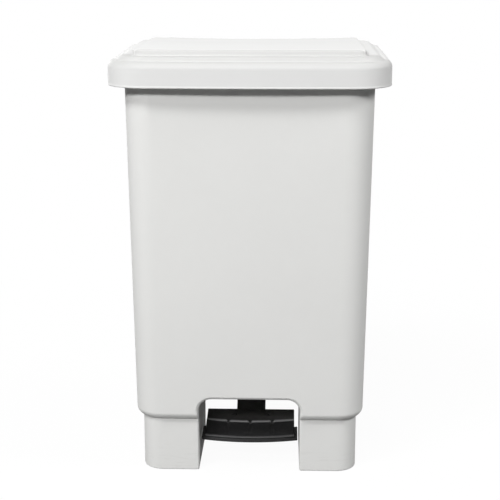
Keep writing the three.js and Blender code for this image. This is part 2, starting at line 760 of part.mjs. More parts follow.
function bowShift(x, y) {
  const share = THREE.MathUtils.clamp((tread_rear_y - y) / (tread_rear_y - tread_crest_y), 0, 1);
  const across = x / tread_flange_half_width;
  return tread_bow * share * across * across;
}

function sweptAcross(profile, stations) {
  const rings = stations.map((x) => profile.map(([y, z]) => new THREE.Vector3(x, y + bowShift(x, y), z)));
  return loft(rings, onSide);
}

const stationsAcross = (half_width) => tread_stations_shares.map((share) => share * half_width);

// The tread's underside behind the crest, where the lever's head lies against it
function treadUnderside(y) {
  const start = tread_crest_y + tread_crest_half_width;
  const low = tread_crest_height - tread_crest_rise - tread_wall;
  const high = tread_rear_height - tread_wall;
  return low + ((high - low) * (y - start)) / (tread_rear_y - start);
}

const tread_screw_y = tread_front_y + tread_screw_set_back;
const treadSlope = () => Math.atan2(treadUnderside(tread_rear_y) - treadUnderside(tread_crest_y),
  tread_rear_y - tread_crest_y);

function treadScrewHole(side) {
  const hole = screw_radius + running_gap;
  const geometry = new THREE.CylinderGeometry(hole, hole, tread_crest_height, round_steps / 2);
  geometry.applyMatrix4(turned_to_z);
  geometry.rotateX(treadSlope());
  return geometry.translate((side * tread_screw_spacing) / 2, tread_screw_y, treadUnderside(tread_screw_y));
}

function makeTread() {
  const plate = sweptAcross(tread_profile, stationsAcross(tread_half_width));
  const flange_inner = tread_half_width - tread_wall;
  const flange_steps = [flange_inner, (flange_inner + tread_flange_half_width) / 2, tread_flange_half_width];
  const flanges = [
    sweptAcross(tread_flange_profile, flange_steps),
    sweptAcross(tread_flange_profile, flange_steps.map((x) => -x).reverse()),
  ];
  const first = (-tread_groove_pitch * (tread_grooves - 1)) / 2;
  const grooves = Array.from({ length: tread_grooves }, (_, number) => {
    const x = first + number * tread_groove_pitch;
    const shift = bowShift(x, tread_crest_y);
    const front = tread_crest_y - tread_crest_half_width + shift;
    const rear = tread_crest_y + tread_crest_half_width + shift;
    const low = tread_crest_height - tread_crest_rise;
    const half = tread_groove_width / 2;
    return box(x - half, x + half, front, rear, low, tread_crest_height + overrun);
  });
  return cut(join(plate, ...flanges), ...grooves, treadScrewHole(-1), treadScrewHole(1));
}

function makeTreadScrew(side) {
  const screw = turned(screwProfile(tread_screw_length), turned_to_z);
  screw.translate(0, 0, tread_wall + running_gap);
  screw.rotateX(treadSlope());
  return screw.translate((side * tread_screw_spacing) / 2, tread_screw_y, treadUnderside(tread_screw_y));
}

// Lever: a wide head under the tread, a broad arm up to the hub, and a slim bar back to the rod
function makeLever() {
  const head_front = tread_crest_y + tread_crest_half_width;
  const under = (y) => treadUnderside(y) - running_gap;
  const head = [
    [head_front, under(head_front) - head_thickness],
    [tread_rear_y, under(tread_rear_y) - head_thickness],
    [tread_rear_y, under(tread_rear_y)],
    [head_front, under(head_front)],
  ];
  const arm_front = tread_screw_y;
  const step_y = tread_rear_y + running_gap + embed;
  const arm = [
    [arm_front, under(arm_front) - head_thickness],
    [arm_front, under(arm_front) - arm_front_depth],
    [pivot_y - arm_slope_length, under(arm_front) - head_thickness],
    [pivot_y, pivot_height - hub_radius],
    [pivot_y, pivot_height + hub_radius],
    [pivot_y - arm_slope_length, pivot_height + arm_slope_crown],
    [step_y + hub_radius, tread_rear_height + arm_step_rise],
    [step_y, under(tread_rear_y)],
    [arm_front, under(arm_front)],
  ];
  const bar_angle = Math.atan2(eye_height - pivot_height, rod_y - pivot_y);
  const side_y = -Math.sin(bar_angle) * bar_half_height;
  const side_z = Math.cos(bar_angle) * bar_half_height;
  const bar = [
    [pivot_y - side_y, pivot_height - side_z],
    [rod_y - side_y, eye_height - side_z],
    [rod_y + side_y, eye_height + side_z],
    [pivot_y + side_y, pivot_height + side_z],
  ];
  const eye = rod_radius + eye_clearance;
  const reach = hub_end + overrun;
  const bush_bore = axle_radius + running_gap + bush_wall + running_gap;
  const pocket = bush_length + running_gap;
  const lever = join(
    extrudeX(polygon(head), -head_half_width, head_half_width),
    extrudeX(polygon(arm), -arm_half_width, arm_half_width),
    barX(pivot_y, pivot_height, hub_radius, -arm_half_width, arm_half_width),
    extrudeX(polygon(bar), -bar_half_width, bar_half_width),
    barX(rod_y, eye_height, eye_radius, -bar_half_width, bar_half_width),
  );
  return cut(
    lever,
    barX(pivot_y, pivot_height, axle_radius + running_gap * 2, -reach, reach),
    barX(pivot_y, pivot_height, bush_bore, hub_end - pocket, reach),
    barX(pivot_y, pivot_height, bush_bore, -reach, pocket - hub_end),
    barX(rod_y, eye_height, eye, -bar_half_width - overrun, bar_half_width + overrun),
    treadScrewHole(-1),
    treadScrewHole(1),
  );
}

function makeAxle() {
  const chamfer = axle_radius / 4;
  const profile = [[0, -axle_end], [axle_radius - chamfer, -axle_end], [axle_radius, chamfer - axle_end],
    [axle_radius, axle_end - chamfer], [axle_radius - chamfer, axle_end], [0, axle_end]];
  return turned(profile, turned_to_x).translate(0, pivot_y, pivot_height);
}

function makeBush(side) {
  const outer = bore_radius + bush_wall;
  const flange = outer + bush_flange_width;
  const inner_end = hub_end - bush_length;
  const outer_end = flange_start + bush_flange_thickness;
  const profile = [[bore_radius, inner_end], [outer, inner_end], [outer, flange_start], [flange, flange_start],
    [flange, outer_end], [bore_radius, outer_end], [bore_radius, inner_end]];
  const bush = turned(profile, turned_to_x);
  return (side > 0 ? bush : bush.rotateZ(Math.PI)).translate(0, pivot_y, pivot_height);
}

function makeCap(side) {
  const outer_end = cap_start + cap_thickness;
  const chamfer = cap_floor / 2;
  const profile = [[bore_radius, cap_start], [cap_radius, cap_start], [cap_radius, outer_end - chamfer],
    [cap_radius - chamfer, outer_end], [0, outer_end], [0, outer_end - cap_floor],
    [bore_radius, outer_end - cap_floor], [bore_radius, cap_start]];
  const cap = turned(profile, turned_to_x);
  return (side > 0 ? cap : cap.rotateZ(Math.PI)).translate(0, pivot_y, pivot_height);
}

// Inner liner: hangs in the rabbet by its rim, notched at the rear for the rod's channel
function linerRing(z, inset) {
  const share = (rim_height - z) / rise;
  const gap = tub_wall + liner_gap_top + (liner_gap_bottom - liner_gap_top) * share + inset;
  const half = tubHalfWidth(z) - gap;
  const rear = channel_floor_y - tub_wall - liner_rear_gap - inset;
  const radii = fourTimes(liner_corner_radius - inset);
  return roundedRing(-half, half, gap - tubFront(z), rear, radii, level(z));
}

function makeLiner() {
  const bottom = arch_height + tub_wall + running_gap;
  const flange_bottom = rim_height - rabbet_depth + running_gap;
  const flange_top = flange_bottom + liner_flange_thickness;
  const flange_outset = rabbet_width - tub_wall - running_gap * 2;
  const outer = loft([linerRing(bottom, liner_wall), linerRing(bottom + liner_wall, 0),
    linerRing(flange_top, 0)], onPlan);
  const flange = loft([rimRing(flange_bottom, flange_outset), rimRing(flange_top, flange_outset)], onPlan);
  const floor_z = bottom + liner_wall;
  const inside = loft([linerRing(floor_z, liner_wall * 2), linerRing(floor_z + liner_wall, liner_wall),
    linerRing(flange_top + overrun, liner_wall)], onPlan);
  const notch_margin = tub_wall + liner_rear_gap - running_gap;
  const notch = channelCutter(notch_margin, flange_bottom - overrun, flange_top + overrun);
  return cut(cut(toSolid(flange), notch).add(toSolid(outer)), inside);
}

// Finishes
const white_plastic = { color: 0xdcdcda, roughness: 0.42, metalness: 0 };
const lid_plastic = { color: 0xe8e8e6, roughness: 0.4, metalness: 0 };
const liner_plastic = { color: 0xb9bbbb, roughness: 0.5, metalness: 0 };
const black_plastic = { color: 0x1c1c1c, roughness: 0.45, metalness: 0 };
const grey_plastic = { color: 0x8c8e8e, roughness: 0.5, metalness: 0 };
const black_rubber = { color: 0x262626, roughness: 0.85, metalness: 0 };
const zinc_steel = { color: 0xb4b6b8, roughness: 0.35, metalness: 1 };

const can = new THREE.Group();

function place(name, shape, finish) {
  const geometry = shape.isBufferGeometry ? shape : toGeometry(shape);
  const mesh = new THREE.Mesh(geometry, new THREE.MeshStandardMaterial(finish));
  mesh.name = name;
  can.add(mesh);
}

place("body_shell", makeTub(), white_plastic);
place("lid", makeLid(), lid_plastic);
place("inner_liner", makeLiner(), liner_plastic);
place("pedal_tread", makeTread(), black_plastic);
place("pedal_lever", makeLever(), black_plastic);
place("lever_axle", makeAxle(), zinc_steel);
place("lift_rod", makeRod(), zinc_steel);
place("rod_clip_upper", makeClip(tab_half_width, rod_top), zinc_steel);
place("rod_clip_lower", makeClip(bar_half_width, eye_height), zinc_steel);

for (const [side_name, side] of [["left", -1], ["right", 1]]) {
  place(`hinge_pin_${side_name}`, makeHingePin(side), zinc_steel);
  place(`lid_bumper_${side_name}`, makeBumper(side), black_rubber);
  place(`pedal_screw_${side_name}`, makeTreadScrew(side), zinc_steel);
  place(`axle_bush_${side_name}`, makeBush(side), grey_plastic);
  place(`axle_cap_${side_name}`, makeCap(side), zinc_steel);
}

["lower", "upper"].forEach((level_name, number) => {
  const height = guide_heights[number];
  place(`rod_guide_${level_name}`, makeGuide(height), black_plastic);
  place(`guide_screw_${level_name}_left`, makeGuideScrew(-1, height), zinc_steel);
  place(`guide_screw_${level_name}_right`, makeGuideScrew(1, height), zinc_steel);
});

export default can;
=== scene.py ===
"""Step-on trash can: the fine surfaces, finishes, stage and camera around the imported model. Metres, +Z up."""
from math import atan2, cos, hypot, pi, radians, sin, tan

import bmesh
import bpy
import numpy as np
from mathutils import Matrix, Vector


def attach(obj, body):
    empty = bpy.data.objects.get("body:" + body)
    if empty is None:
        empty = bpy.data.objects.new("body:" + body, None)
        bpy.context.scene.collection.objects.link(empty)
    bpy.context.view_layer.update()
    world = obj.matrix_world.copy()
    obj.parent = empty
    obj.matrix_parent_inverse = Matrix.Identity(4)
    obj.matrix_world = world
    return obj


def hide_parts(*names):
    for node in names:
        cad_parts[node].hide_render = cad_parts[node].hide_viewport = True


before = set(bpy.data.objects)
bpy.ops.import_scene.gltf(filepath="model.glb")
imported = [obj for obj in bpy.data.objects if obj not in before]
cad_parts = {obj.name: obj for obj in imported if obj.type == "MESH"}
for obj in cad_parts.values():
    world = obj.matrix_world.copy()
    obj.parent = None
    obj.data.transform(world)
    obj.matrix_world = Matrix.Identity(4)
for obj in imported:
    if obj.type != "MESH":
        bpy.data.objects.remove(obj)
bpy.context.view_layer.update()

bl_info = {
    "name": "Step-on trash can",
    "version": (1, 0, 0),
    "blender": (4, 5, 0),
    "location": "View3D > Sidebar > Trash can",
    "description": "Builds the fine surfaces, finishes and stage of a step-on trash can",
    "category": "Object",
}

ARC_STEPS = 14  # quads round a plan corner
FILLET_STEPS = 6  # quads round a corner of a profile
TURN_STEPS = 48  # quads round a turned piece
SMOOTH_ANGLE = radians(32)
GAP = 0.0003  # between pieces that touch
OVERRUN = 0.002  # how far a cutter runs past the face that it cuts
MERGE = 1e-6
SIDES = ((-1, "left"), (1, "right"))

EDGE_POWER = 0.75  # fullness of the tub's lower edge
HALF_OPENING = radians(37.5)  # half of the lid's travel
LEDGE_IN, STEP_FOOT, STEP_IN = 0.0094, 0.019, 0.0205  # from the lid's skirt in to its ledge and first step
PANEL_IN, PANEL_EDGE, PANEL_FLAT, LID_MIDDLE = 0.037, 0.040, 0.046, 0.2  # and to its panel and its middle
SIDE_STEP_FOOT = 0.0120  # the first step's foot at the sides, where it is a slope
PANEL_SET_BACK = 0.005  # how much further in the lid's panel stands at the front and rear
SWING_GAP = 0.0005  # between a knuckle and an ear
STOP_X, STOP_RADIUS = 0.12, 0.0045
PEG_RADIUS, PEG_LENGTH = 0.0022, 0.003  # of the lid's pegs in the stops
CREST, CREST_HALF = 0.046, 0.0045  # the tread's crest: its place behind the front lip, and half its depth
UNDER_CREST, UNDER_REAR, TREAD_TOP = 0.0538, 0.0585, 0.0625  # heights of the tread's underside and rear edge
BREAK_DEPTH = 0.0022  # of the breaks in the crest
SCREW_HOLE = 0.0021
BUSH_WALL = 0.0024
CLIP_WIDTH = 0.003

FOCAL_LENGTH, FILM_WIDTH, PHOTO_WIDTH = 1255.33, 36.0, 500  # in photo pixels, millimetres and photo pixels

SCUFF = (0.42, 0.41, 0.38)  # linear colours of rubbed marks, of painted shade on the lid's steps, of dust and of painted light on the pedal's shaded parts, and of worn crests with a painted highlight
PAINTED_SHADE = (0.25, 0.25, 0.24)
DUST_AND_PAINTED_LIGHT = (0.35, 0.34, 0.32)
WORN_AND_HIGHLIGHT = (0.25, 0.25, 0.252)


def length(name, default, description):
    """A size in metres for a property group."""
    return bpy.props.FloatProperty(name=name, default=default, description=description, min=0.0, precision=4,
                                   unit="LENGTH", subtype="DISTANCE")


def share(name, default, description):
    """A number from 0 to 1 for a property group."""
    return bpy.props.FloatProperty(name=name, default=default, description=description, min=0.0, max=1.0,
                                   subtype="FACTOR")


def colour(name, default, description):
    """A linear colour for a property group."""
    return bpy.props.FloatVectorProperty(name=name, default=default, description=description, min=0.0, max=1.0,
                                         size=3, subtype="COLOR")


def angle(name, default, description):
    """An angle in radians for a property group."""
    return bpy.props.FloatProperty(name=name, default=default, description=description, unit="ROTATION",
                                   subtype="ANGLE")


class TubSizes(bpy.types.PropertyGroup):
    """Sizes of the tub, its rim, legs, arch and rod channel."""
    half_width_top: length("Half width at the rim", 0.183, "From the middle to the side wall at the rim")
    half_width_bottom: length("Half width at the bottom", 0.175, "From the middle to the side wall at the bottom")
    front_top: length("Front at the rim", 0.162, "From the origin to the front wall at the rim")
    front_bottom: length("Front at the bottom", 0.155, "From the origin to the front wall at the bottom")
    rear_top: length("Rear at the rim", 0.163, "From the origin to the rear wall at the rim")
    rear_bottom: length("Rear at the bottom", 0.157, "From the origin to the rear wall at the bottom")
    corner: length("Corner radius", 0.042, "Radius of the tub's upright corners")
    wall: length("Wall", 0.0035, "Thickness of the tub's wall")
    underside: length("Underside height", 0.0832, "Height of the tub's underside above the floor")
    lower_edge: length("Lower edge", 0.0122, "Height of the rounded lower edge")
    rim_top: length("Rim height", 0.6215, "Height of the rim's top face")
    rim_width: length("Rim width", 0.012, "How far the rim stands out past the wall")
    rim_rear: length("Rear rim width", 0.004, "How far the rim stands out at the rear")
    rim_depth: length("Rim lip depth", 0.02, "Height of the rim's turned-down lip")
    rim_plate: length("Rim plate", 0.005, "Thickness of the rim's top plate")
    rim_lip: length("Rim lip wall", 0.003, "Thickness of the turned-down lip")
    rim_round: length("Rim rounding", 0.0028, "Radius of the rim's top edge")
    seat: length("Liner seat", 0.0045, "Width and depth of the seat for the liner's rim")
    leg_inset: length("Leg inset", 0.01, "From the wall to the outer faces of the legs")
    leg_front: length("Leg front", 0.147, "From the origin to the front faces of the front legs")
    leg_corner: length("Leg corner radius", 0.009, "Radius of the legs' hidden corners")
    leg_depth: length("Front leg depth", 0.147, "Depth of the front legs")
    rear_leg_depth: length("Rear leg depth", 0.084, "Depth of the rear legs")
    rear_leg_set_in: length("Rear leg set-in", 0.015, "How much further out the rear legs stand")
    foot_edge: length("Foot edge", 0.002, "Height of the rounding round the feet")
    arch_half: length("Arch half width", 0.0775, "From the middle to the arch's side walls")
    arch_height: length("Arch height", 0.117, "Height of the arch's ceiling")
    arch_corner: length("Arch corner radius", 0.02, "Radius of the arch's upper corners")
    arch_lean: length("Arch lean", 0.0018, "How much the arch narrows on each side over the front legs")
    arch_edge: length("Arch edge", 0.0032, "Rounding of the arch's edge on the legs")
    arch_roll: length("Arch roll", 0.0052, "Rounding of the arch's edge on the tub")
    channel_half: length("Channel half width", 0.02, "From the middle to the side walls of the rod channel")
    channel_floor: length("Channel floor", 0.1395, "From the origin to the floor of the rod channel")
    channel_corner: length("Channel corner", 0.006, "Radius of the channel's inner corners")
    channel_edge: length("Channel edge", 0.0022, "Rounding of the channel's outer edges")


class LidSizes(bpy.types.PropertyGroup):
    """Sizes of the lid, its hinges and its tab."""
    half_width: length("Half width", 0.2065, "From the middle to the skirt's side")
    half_depth: length("Half depth", 0.1845, "From the middle to the skirt's front and rear")
    corner: length("Corner radius", 0.058, "Radius of the lid's corners")
    bow: length("Front bow", 0.005, "How far the front bows forward in the middle")
    wall: length("Wall", 0.003, "Thickness of the lid")
    bottom: length("Skirt bottom", 0.594, "Height of the skirt's lower edge")
    ledge: length("Ledge height", 0.6305, "Height of the ledge over the skirt")
    step_top: length("Step height", 0.6365, "Height of the first step's top")
    top: length("Top height", 0.645, "Height of the raised panel's front edge")
    draft: length("Skirt draft", 0.0004, "How far the skirt stands in over its lower bead")
    shoulder: length("Shoulder radius", 0.0094, "Radius of the rolled shoulder")
    rear_drop: length("Panel fall", 0.0033, "How much lower the panel's rear edge is")
    dish: length("Panel dish", 0.0028, "How far the panel is dished in the middle")
    hinge_y: length("Hinge set-back", 0.174, "From the origin to the hinge axis")
    hinge_z: length("Hinge height", 0.6, "Height of the hinge axis")
    hinge_x: length("Hinge offset", 0.09, "From the middle to each hinge")
    knuckle: length("Knuckle width", 0.014, "Width of the lid's knuckle")
    ear: length("Ear thickness", 0.008, "Thickness of each ear of the tub")
    ear_radius: length("Ear radius", 0.007, "Radius of the ears and knuckles")
    pin: length("Pin radius", 0.003, "Radius of the hinge pins")


class PedalSizes(bpy.types.PropertyGroup):
    """Sizes of the tread, the lever and the pivot."""
    front: length("Tread front", 0.137, "From the origin to the tread's front")
    depth: length("Tread depth", 0.09, "Depth of the tread")
    half_width: length("Tread half width", 0.0695, "From the middle to the tread's sides")
    wing: length("Wing half width", 0.0745, "From the middle to the ends of the side wings")
    wing_depth: length("Wing depth", 0.047, "Depth of the side wings")
    bow: length("Tread bow", 0.0105, "How far the tread bows forward in the middle")
    wall: length("Tread wall", 0.004, "Thickness of the tread")
    groove: length("Groove width", 0.0058, "Width of the breaks in the crest")
    groove_pitch: length("Groove pitch", 0.0345, "Distance between the breaks in the crest")
    arm_half: length("Arm half width", 0.021, "From the middle to the arm's sides")
    head_half: length("Head half width", 0.036, "From the middle to the sides of the head under the tread")
    bar_half: length("Bar half width", 0.008, "From the middle to the sides of the rear bar")
    pivot_y: length("Pivot set-back", 0.01, "From the origin to the axle")
    pivot_z: length("Pivot height", 0.076, "Height of the axle")
    hub: length("Hub radius", 0.011, "Radius of the lever's hub")
    axle: length("Axle radius", 0.004, "Radius of the axle")
    arm_flange: length("Arm flange", 0.0018, "How far the arm stands out past the hub in front")
    screw_x: length("Screw offset", 0.026, "From the middle to each tread screw")
    screw_y: length("Screw set-back", 0.067, "From the origin forward to the tread screws")


class RodSizes(bpy.types.PropertyGroup):
    """Sizes of the lift rod, its guides and its clips."""
    rod: length("Rod radius", 0.0025, "Radius of the lift rod")
    rod_y: length("Rod set-back", 0.154, "From the origin to the rod")
    side: length("Rod side shift", 0.013, "From the middle to the rod's straight run")
    bend: length("Bend radius", 0.006, "Radius of the rod's bends")
    low: length("Lower hook height", 0.06065344, "Height of the lower hook")
    high: length("Upper hook height", 0.58465344, "Height of the upper hook")
    tab_half: length("Tab half width", 0.004, "Half the thickness of the lid's tab")
    clip: length("Clip radius", 0.005, "Radius of the retaining clips")
    guide_low: length("Lower guide height", 0.2, "Height of the lower guide")
    guide_high: length("Upper guide height", 0.43, "Height of the upper guide")
    guide_half: length("Guide half height", 0.008, "Half the height of each guide")
    guide_width: length("Guide half width", 0.033, "From the middle to the guide's ends")
    guide_plate: length("Guide plate", 0.003, "Thickness of the guide's plate")
    screw_x: length("Guide screw offset", 0.027, "From the middle to each guide screw")
    screw: length("Screw radius", 0.0018, "Radius of the screws' shanks")
    screw_head: length("Screw head radius", 0.0038, "Radius of the screws' heads")


class Finishes(bpy.types.PropertyGroup):
    """Colours of the finishes."""
    tub: colour("Tub", (0.795, 0.795, 0.780), "Satin white plastic of the tub")
    lid: colour("Lid", (0.745, 0.745, 0.738), "Satin white plastic of the lid")
    liner: colour("Liner", (0.32, 0.33, 0.33), "Grey plastic of the liner")
    black: colour("Pedal", (0.0160, 0.0160, 0.0164), "Grained black plastic of the pedal")
    bush: colour("Bushes", (0.22, 0.22, 0.22), "Grey bearing plastic")
    rubber: colour("Stops", (0.012, 0.012, 0.012), "Black rubber of the stops")
    zinc: colour("Zinc", (0.62, 0.63, 0.65), "Bright zinc plating")
    dark: colour("Tread screws", (0.06, 0.06, 0.06), "Black oxide of the tread screws")
    gloss: share("Tub roughness", 0.60, "Roughness of the white plastic")
    shine: share("Tub shine", 0.02, "Specular level of the white plastic")


class StageSettings(bpy.types.PropertyGroup):
    """The camera and the light."""
    camera_distance: length("Camera distance", 1.95235, "From the can's middle line to the camera, level")
    camera_height: length("Camera height", 0.80319, "Height of the camera")
    camera_turn: angle("Camera turn", 0.0300, "How far round to the right the camera stands")
    camera_tilt: angle("Camera tilt", 0.245, "How far the camera looks down")
    camera_yaw: angle("Camera yaw", 0.0017, "How far the camera looks to the left of the middle line")
    ambient: share("Ambient", 0.20, "Brightness of the sky overhead")
    horizon: share("Horizon", 0.03, "Brightness of the sky at the horizon")
    key: share("Key", 0.62, "Brightness of the low key light from the front")
    high: share("High light", 0.455, "Brightness of the high light from the left")
    side: share("Side light", 0.49, "Brightness of the light from the right side")
    rear: share("Rear light", 0.36, "Brightness of the low light from behind")


# ---------------------------------------------------------------- surfaces

def quarter(count):
    """Two runs of shares over a quarter circle: how far it has risen, and how far it still has to go sideways."""
    turn = np.linspace(0, pi / 2, count)
    return 1 - np.cos(turn), 1 - np.sin(turn)


def rounded_run(low, high, rounding, count=4):
    """Places along a run, and how far its section is drawn in at each: on a quarter circle near both ends."""
    rise, left = quarter(count) if rounding else (np.zeros(1), np.zeros(1))
    return (np.concatenate([low + rounding * rise, high - rounding * rise[::-1]]),
            rounding * np.concatenate([left, left[::-1]]))


def outline(x0, x1, y0, y1, radii, side_steps=1):
    """A rounded rectangle in plan, counterclockwise from the rear right corner: each corner is a quarter circle of
    its own radius, and each side is a straight run. Arrays of sizes give one outline each."""
    x0, x1, y0, y1 = (np.atleast_1d(np.asarray(value, float)) for value in np.broadcast_arrays(x0, x1, y0, y1))
    radii = np.asarray(radii, float)
    radii = np.broadcast_to(radii[..., None] if radii.ndim < 2 else radii, (len(x0), 4))
    turn = (np.arange(4)[:, None] + np.linspace(0, 1, ARC_STEPS + 1)) * pi / 2
    middle_x = np.stack([x1, x0, x0, x1], -1) + radii * [-1, 1, 1, -1]
    middle_y = np.stack([y1, y1, y0, y0], -1) + radii * [-1, -1, 1, 1]
    x = middle_x[..., None] + radii[..., None] * np.cos(turn)
    y = middle_y[..., None] + radii[..., None] * np.sin(turn)
    along = np.arange(1, side_steps) / side_steps
    runs = [np.concatenate([value, value[..., -1:] * (1 - along) + np.roll(value, -1, 1)[..., :1] * along], -1)
            for value in (x, y)]
    return np.stack(runs, -1).reshape(len(x0), -1, 2)


def fillet(points, radii, steps=FILLET_STEPS):
    """A closed polygon with its corners rounded: each corner becomes an arc of its radius that touches both sides.
    A radius of 0 leaves the corner, as one point repeated."""
    def unit(vectors):
        """Vectors over their lengths."""
        return vectors / np.maximum(np.linalg.norm(vectors, axis=1, keepdims=True), MERGE)

    points = np.asarray(points, float)
    radii = np.broadcast_to(np.asarray(radii, float), len(points))[:, None]
    back, ahead = unit(np.roll(points, 1, 0) - points), unit(np.roll(points, -1, 0) - points)
    half = np.arccos(np.clip((back * ahead).sum(1, keepdims=True), -1, 1)) / 2
    reach = radii / np.tan(np.maximum(half, MERGE))
    centre = points + unit(back + ahead) * radii / np.sin(np.maximum(half, MERGE))
    start, end = ((points + way * reach - centre)[:, None] for way in (back, ahead))
    sweep = np.maximum(pi - 2 * half, MERGE)[:, None]
    part = np.linspace(0, 1, steps + 1)[None, :, None]
    arc = (start * np.sin((1 - part) * sweep) + end * np.sin(part * sweep)) / np.sin(sweep)
    return (centre[:, None] + arc).reshape(-1, 2)


def open_fillet(points, radii, steps=FILLET_STEPS):
    """The same for an open run of points, whose two ends stay as they are."""
    radii = np.array(radii, float)
    radii[[0, -1]] = 0
    return fillet(points, radii, steps)[steps: -steps or None]


def grown(profile, amount):
    """A closed counterclockwise polygon moved outwards along the normals of its sides by an amount."""
    profile = profile[np.linalg.norm(np.roll(profile, -1, 0) - profile, axis=1) > MERGE]
    side = np.roll(profile, -1, 0) - profile
    side /= np.linalg.norm(side, axis=1, keepdims=True)
    normal = np.stack([side[:, 1], -side[:, 0]], -1)
    before = np.roll(normal, 1, 0)
    bend = 1 + (normal * before).sum(1, keepdims=True)
    return profile + (normal + before) / np.maximum(bend, 0.2) * amount


def raised(plan, height):
    """Plan outlines lifted to their heights, one number for each outline."""
    height = np.broadcast_to(np.asarray(height, float)[:, None], plan.shape[:2])
    return np.concatenate([plan, height[..., None]], -1)


def arc(y, z, radius, start, end, count):
    """An arc in Y and Z between two angles."""
    turn = np.linspace(start, end, count)
    return np.stack([y + radius * np.cos(turn), z + radius * np.sin(turn)], -1)


def disc(y, z, radius):
    """A circle in Y and Z, counterclockwise."""
    return arc(y, z, radius, 0, 2 * pi, TURN_STEPS + 1)[:-1]


def spans(side, low, high):
    """A span on the right side, or its mirror image on the left."""
    return (low, high) if side > 0 else (-high, -low)


def facing(direction, place):
    """The matrix that takes Z to a direction and the origin to a place."""
    return Matrix.Translation(place) @ Vector(direction).to_track_quat("Z", "Y").to_matrix().to_4x4()


def moved(points, matrix):
    """Points taken through a matrix."""
    matrix = np.array(matrix)
    return points @ matrix[:3, :3].T + matrix[:3, 3]


def build(name, rings, closed=False):
    """A closed surface of quads between neighbouring rings. Its ends are closed by one face each, or joined to each
    other. Points that fall together are merged, and the faces are made to point outwards."""
    index = np.arange(rings.shape[0] * rings.shape[1]).reshape(rings.shape[:2])
    here = index if closed else index[:-1]
    above = np.roll(index, -1, 0) if closed else index[1:]
    faces = np.stack([here, np.roll(here, -1, 1), np.roll(above, -1, 1), above], -1).reshape(-1, 4).tolist()
    if not closed:
        faces += [index[0][::-1].tolist(), index[-1].tolist()]
    mesh = bpy.data.meshes.new(name)
    mesh.from_pydata(rings.reshape(-1, 3).tolist(), [], faces)
    shape = bmesh.new()
    shape.from_mesh(mesh)
    bmesh.ops.remove_doubles(shape, verts=shape.verts, dist=MERGE)
    bmesh.ops.recalc_face_normals(shape, faces=shape.faces)
    shape.to_mesh(mesh)
    shape.free()
    piece = bpy.data.objects.new(name, mesh)
    bpy.context.scene.collection.objects.link(piece)
    return piece


def prism(name, profile, x0, x1, rounding=0.0):
    """A profile in Y and Z carried along X. Near both ends it shrinks on a quarter circle, so its edges are round."""
    return build(name, np.array([np.insert(grown(profile, -inset), 0, x, 1)
                                 for x, inset in zip(*rounded_run(x0, x1, rounding))]))


def block(name, low, high, rounding):
    """A box whose twelve edges are rounded: rounded rectangles in plan, drawn in on a quarter circle at both ends."""
    z, inset = rounded_run(low[2], high[2], rounding)
    corner = np.maximum(rounding - inset, MERGE * 10)
    return build(name, raised(outline(low[0] + inset, high[0] - inset, low[1] + inset, high[1] - inset, corner), z))


def turned(name, profile, place=Matrix(), steps=TURN_STEPS, closed=False):
    """A profile of radius and height turned about an axis. The matrix takes that axis from Z to its place. A closed
    profile gives a ring with a hole."""
    radius, height = np.asarray(profile, float).T[..., None]
    turn = np.arange(steps) * 2 * pi / steps
    rings = np.stack([radius * np.cos(turn), radius * np.sin(turn), height + 0 * turn], -1)
    return build(name, moved(rings, place), closed)


def plug(name, radius, low, high, place, steps=24):
    """A plain round bar that a hole is cut with."""
    return turned(name, [(0, low), (radius, low), (radius, high), (0, high)], place, steps)


def carve(piece, operation, *tools):
    """Joins tools to a piece or cuts them from it. The tools are used up."""
    for tool in tools:
        modifier = piece.modifiers.new(tool.name, "BOOLEAN")
        modifier.operation = operation
        modifier.solver = "MANIFOLD"
        modifier.object = tool
    settle(piece)
    for tool in tools:
        mesh = tool.data
        bpy.data.objects.remove(tool)
        bpy.data.meshes.remove(mesh)
    return piece


def join(piece, *tools):
    """The piece and its tools made one."""
    return carve(piece, "UNION", *tools)


def cut(piece, *tools):
    """The piece less its tools."""
    return carve(piece, "DIFFERENCE", *tools)


def settle(piece):
    """Turns a piece's modifiers into its mesh, and stops if the mesh is empty or open."""
    graph = bpy.context.evaluated_depsgraph_get()
    shaped = bpy.data.meshes.new_from_object(piece.evaluated_get(graph), depsgraph=graph)
    piece.modifiers.clear()
    old, piece.data = piece.data, shaped
    bpy.data.meshes.remove(old)
    shape = bmesh.new()
    shape.from_mesh(shaped)
    open_edges = sum(not edge.is_manifold for edge in shape.edges)
    volume = shape.calc_volume() if shape.faces else 0
    shape.free()
    if open_edges or volume <= 0:
        raise RuntimeError(f"{piece.name} has {open_edges} open edges and a volume of {volume}")


def write_share(piece, name, share_of):
    """Writes a share from 0 to 1 at each point of a piece, from its X, Y and Z."""
    place = np.empty(len(piece.data.vertices) * 3, np.float32)
    piece.data.vertices.foreach_get("co", place)
    attribute = piece.data.attributes.new(name, "FLOAT", "POINT")
    attribute.data.foreach_set("value", share_of(*place.reshape(-1, 3).T).astype(np.float32))


def dress(piece, body, node, slot):
    """Smooths a finished piece's shading up to an angle, gives it its finish and body, and hides the CAD node that it
    stands in for.
    """
    piece.data.name = piece.name
    piece.data.shade_smooth()
    piece.data.set_sharp_from_angle(angle=SMOOTH_ANGLE)
    piece.modifiers.new("even_normals", "WEIGHTED_NORMAL").keep_sharp = True
    settle(piece)
    piece.data.materials.clear()
    piece.data.materials.append(finish_named(slot))
    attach(piece, body)
    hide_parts(node)


def sizes(*names):
    """The scene's groups of sizes of these names."""
    return [getattr(bpy.context.scene, f"can_{name}") for name in names]


# ---------------------------------------------------------------- finishes

def maths(operation, swapped=False):
    """A method that joins a socket and another value with a Math node, in either order."""
    def method(self, other):
        pair = (other, self) if swapped else (self, other)
        return self.finish.node("ShaderNodeMath", {"operation": operation}, dict(enumerate(pair)))
    return method


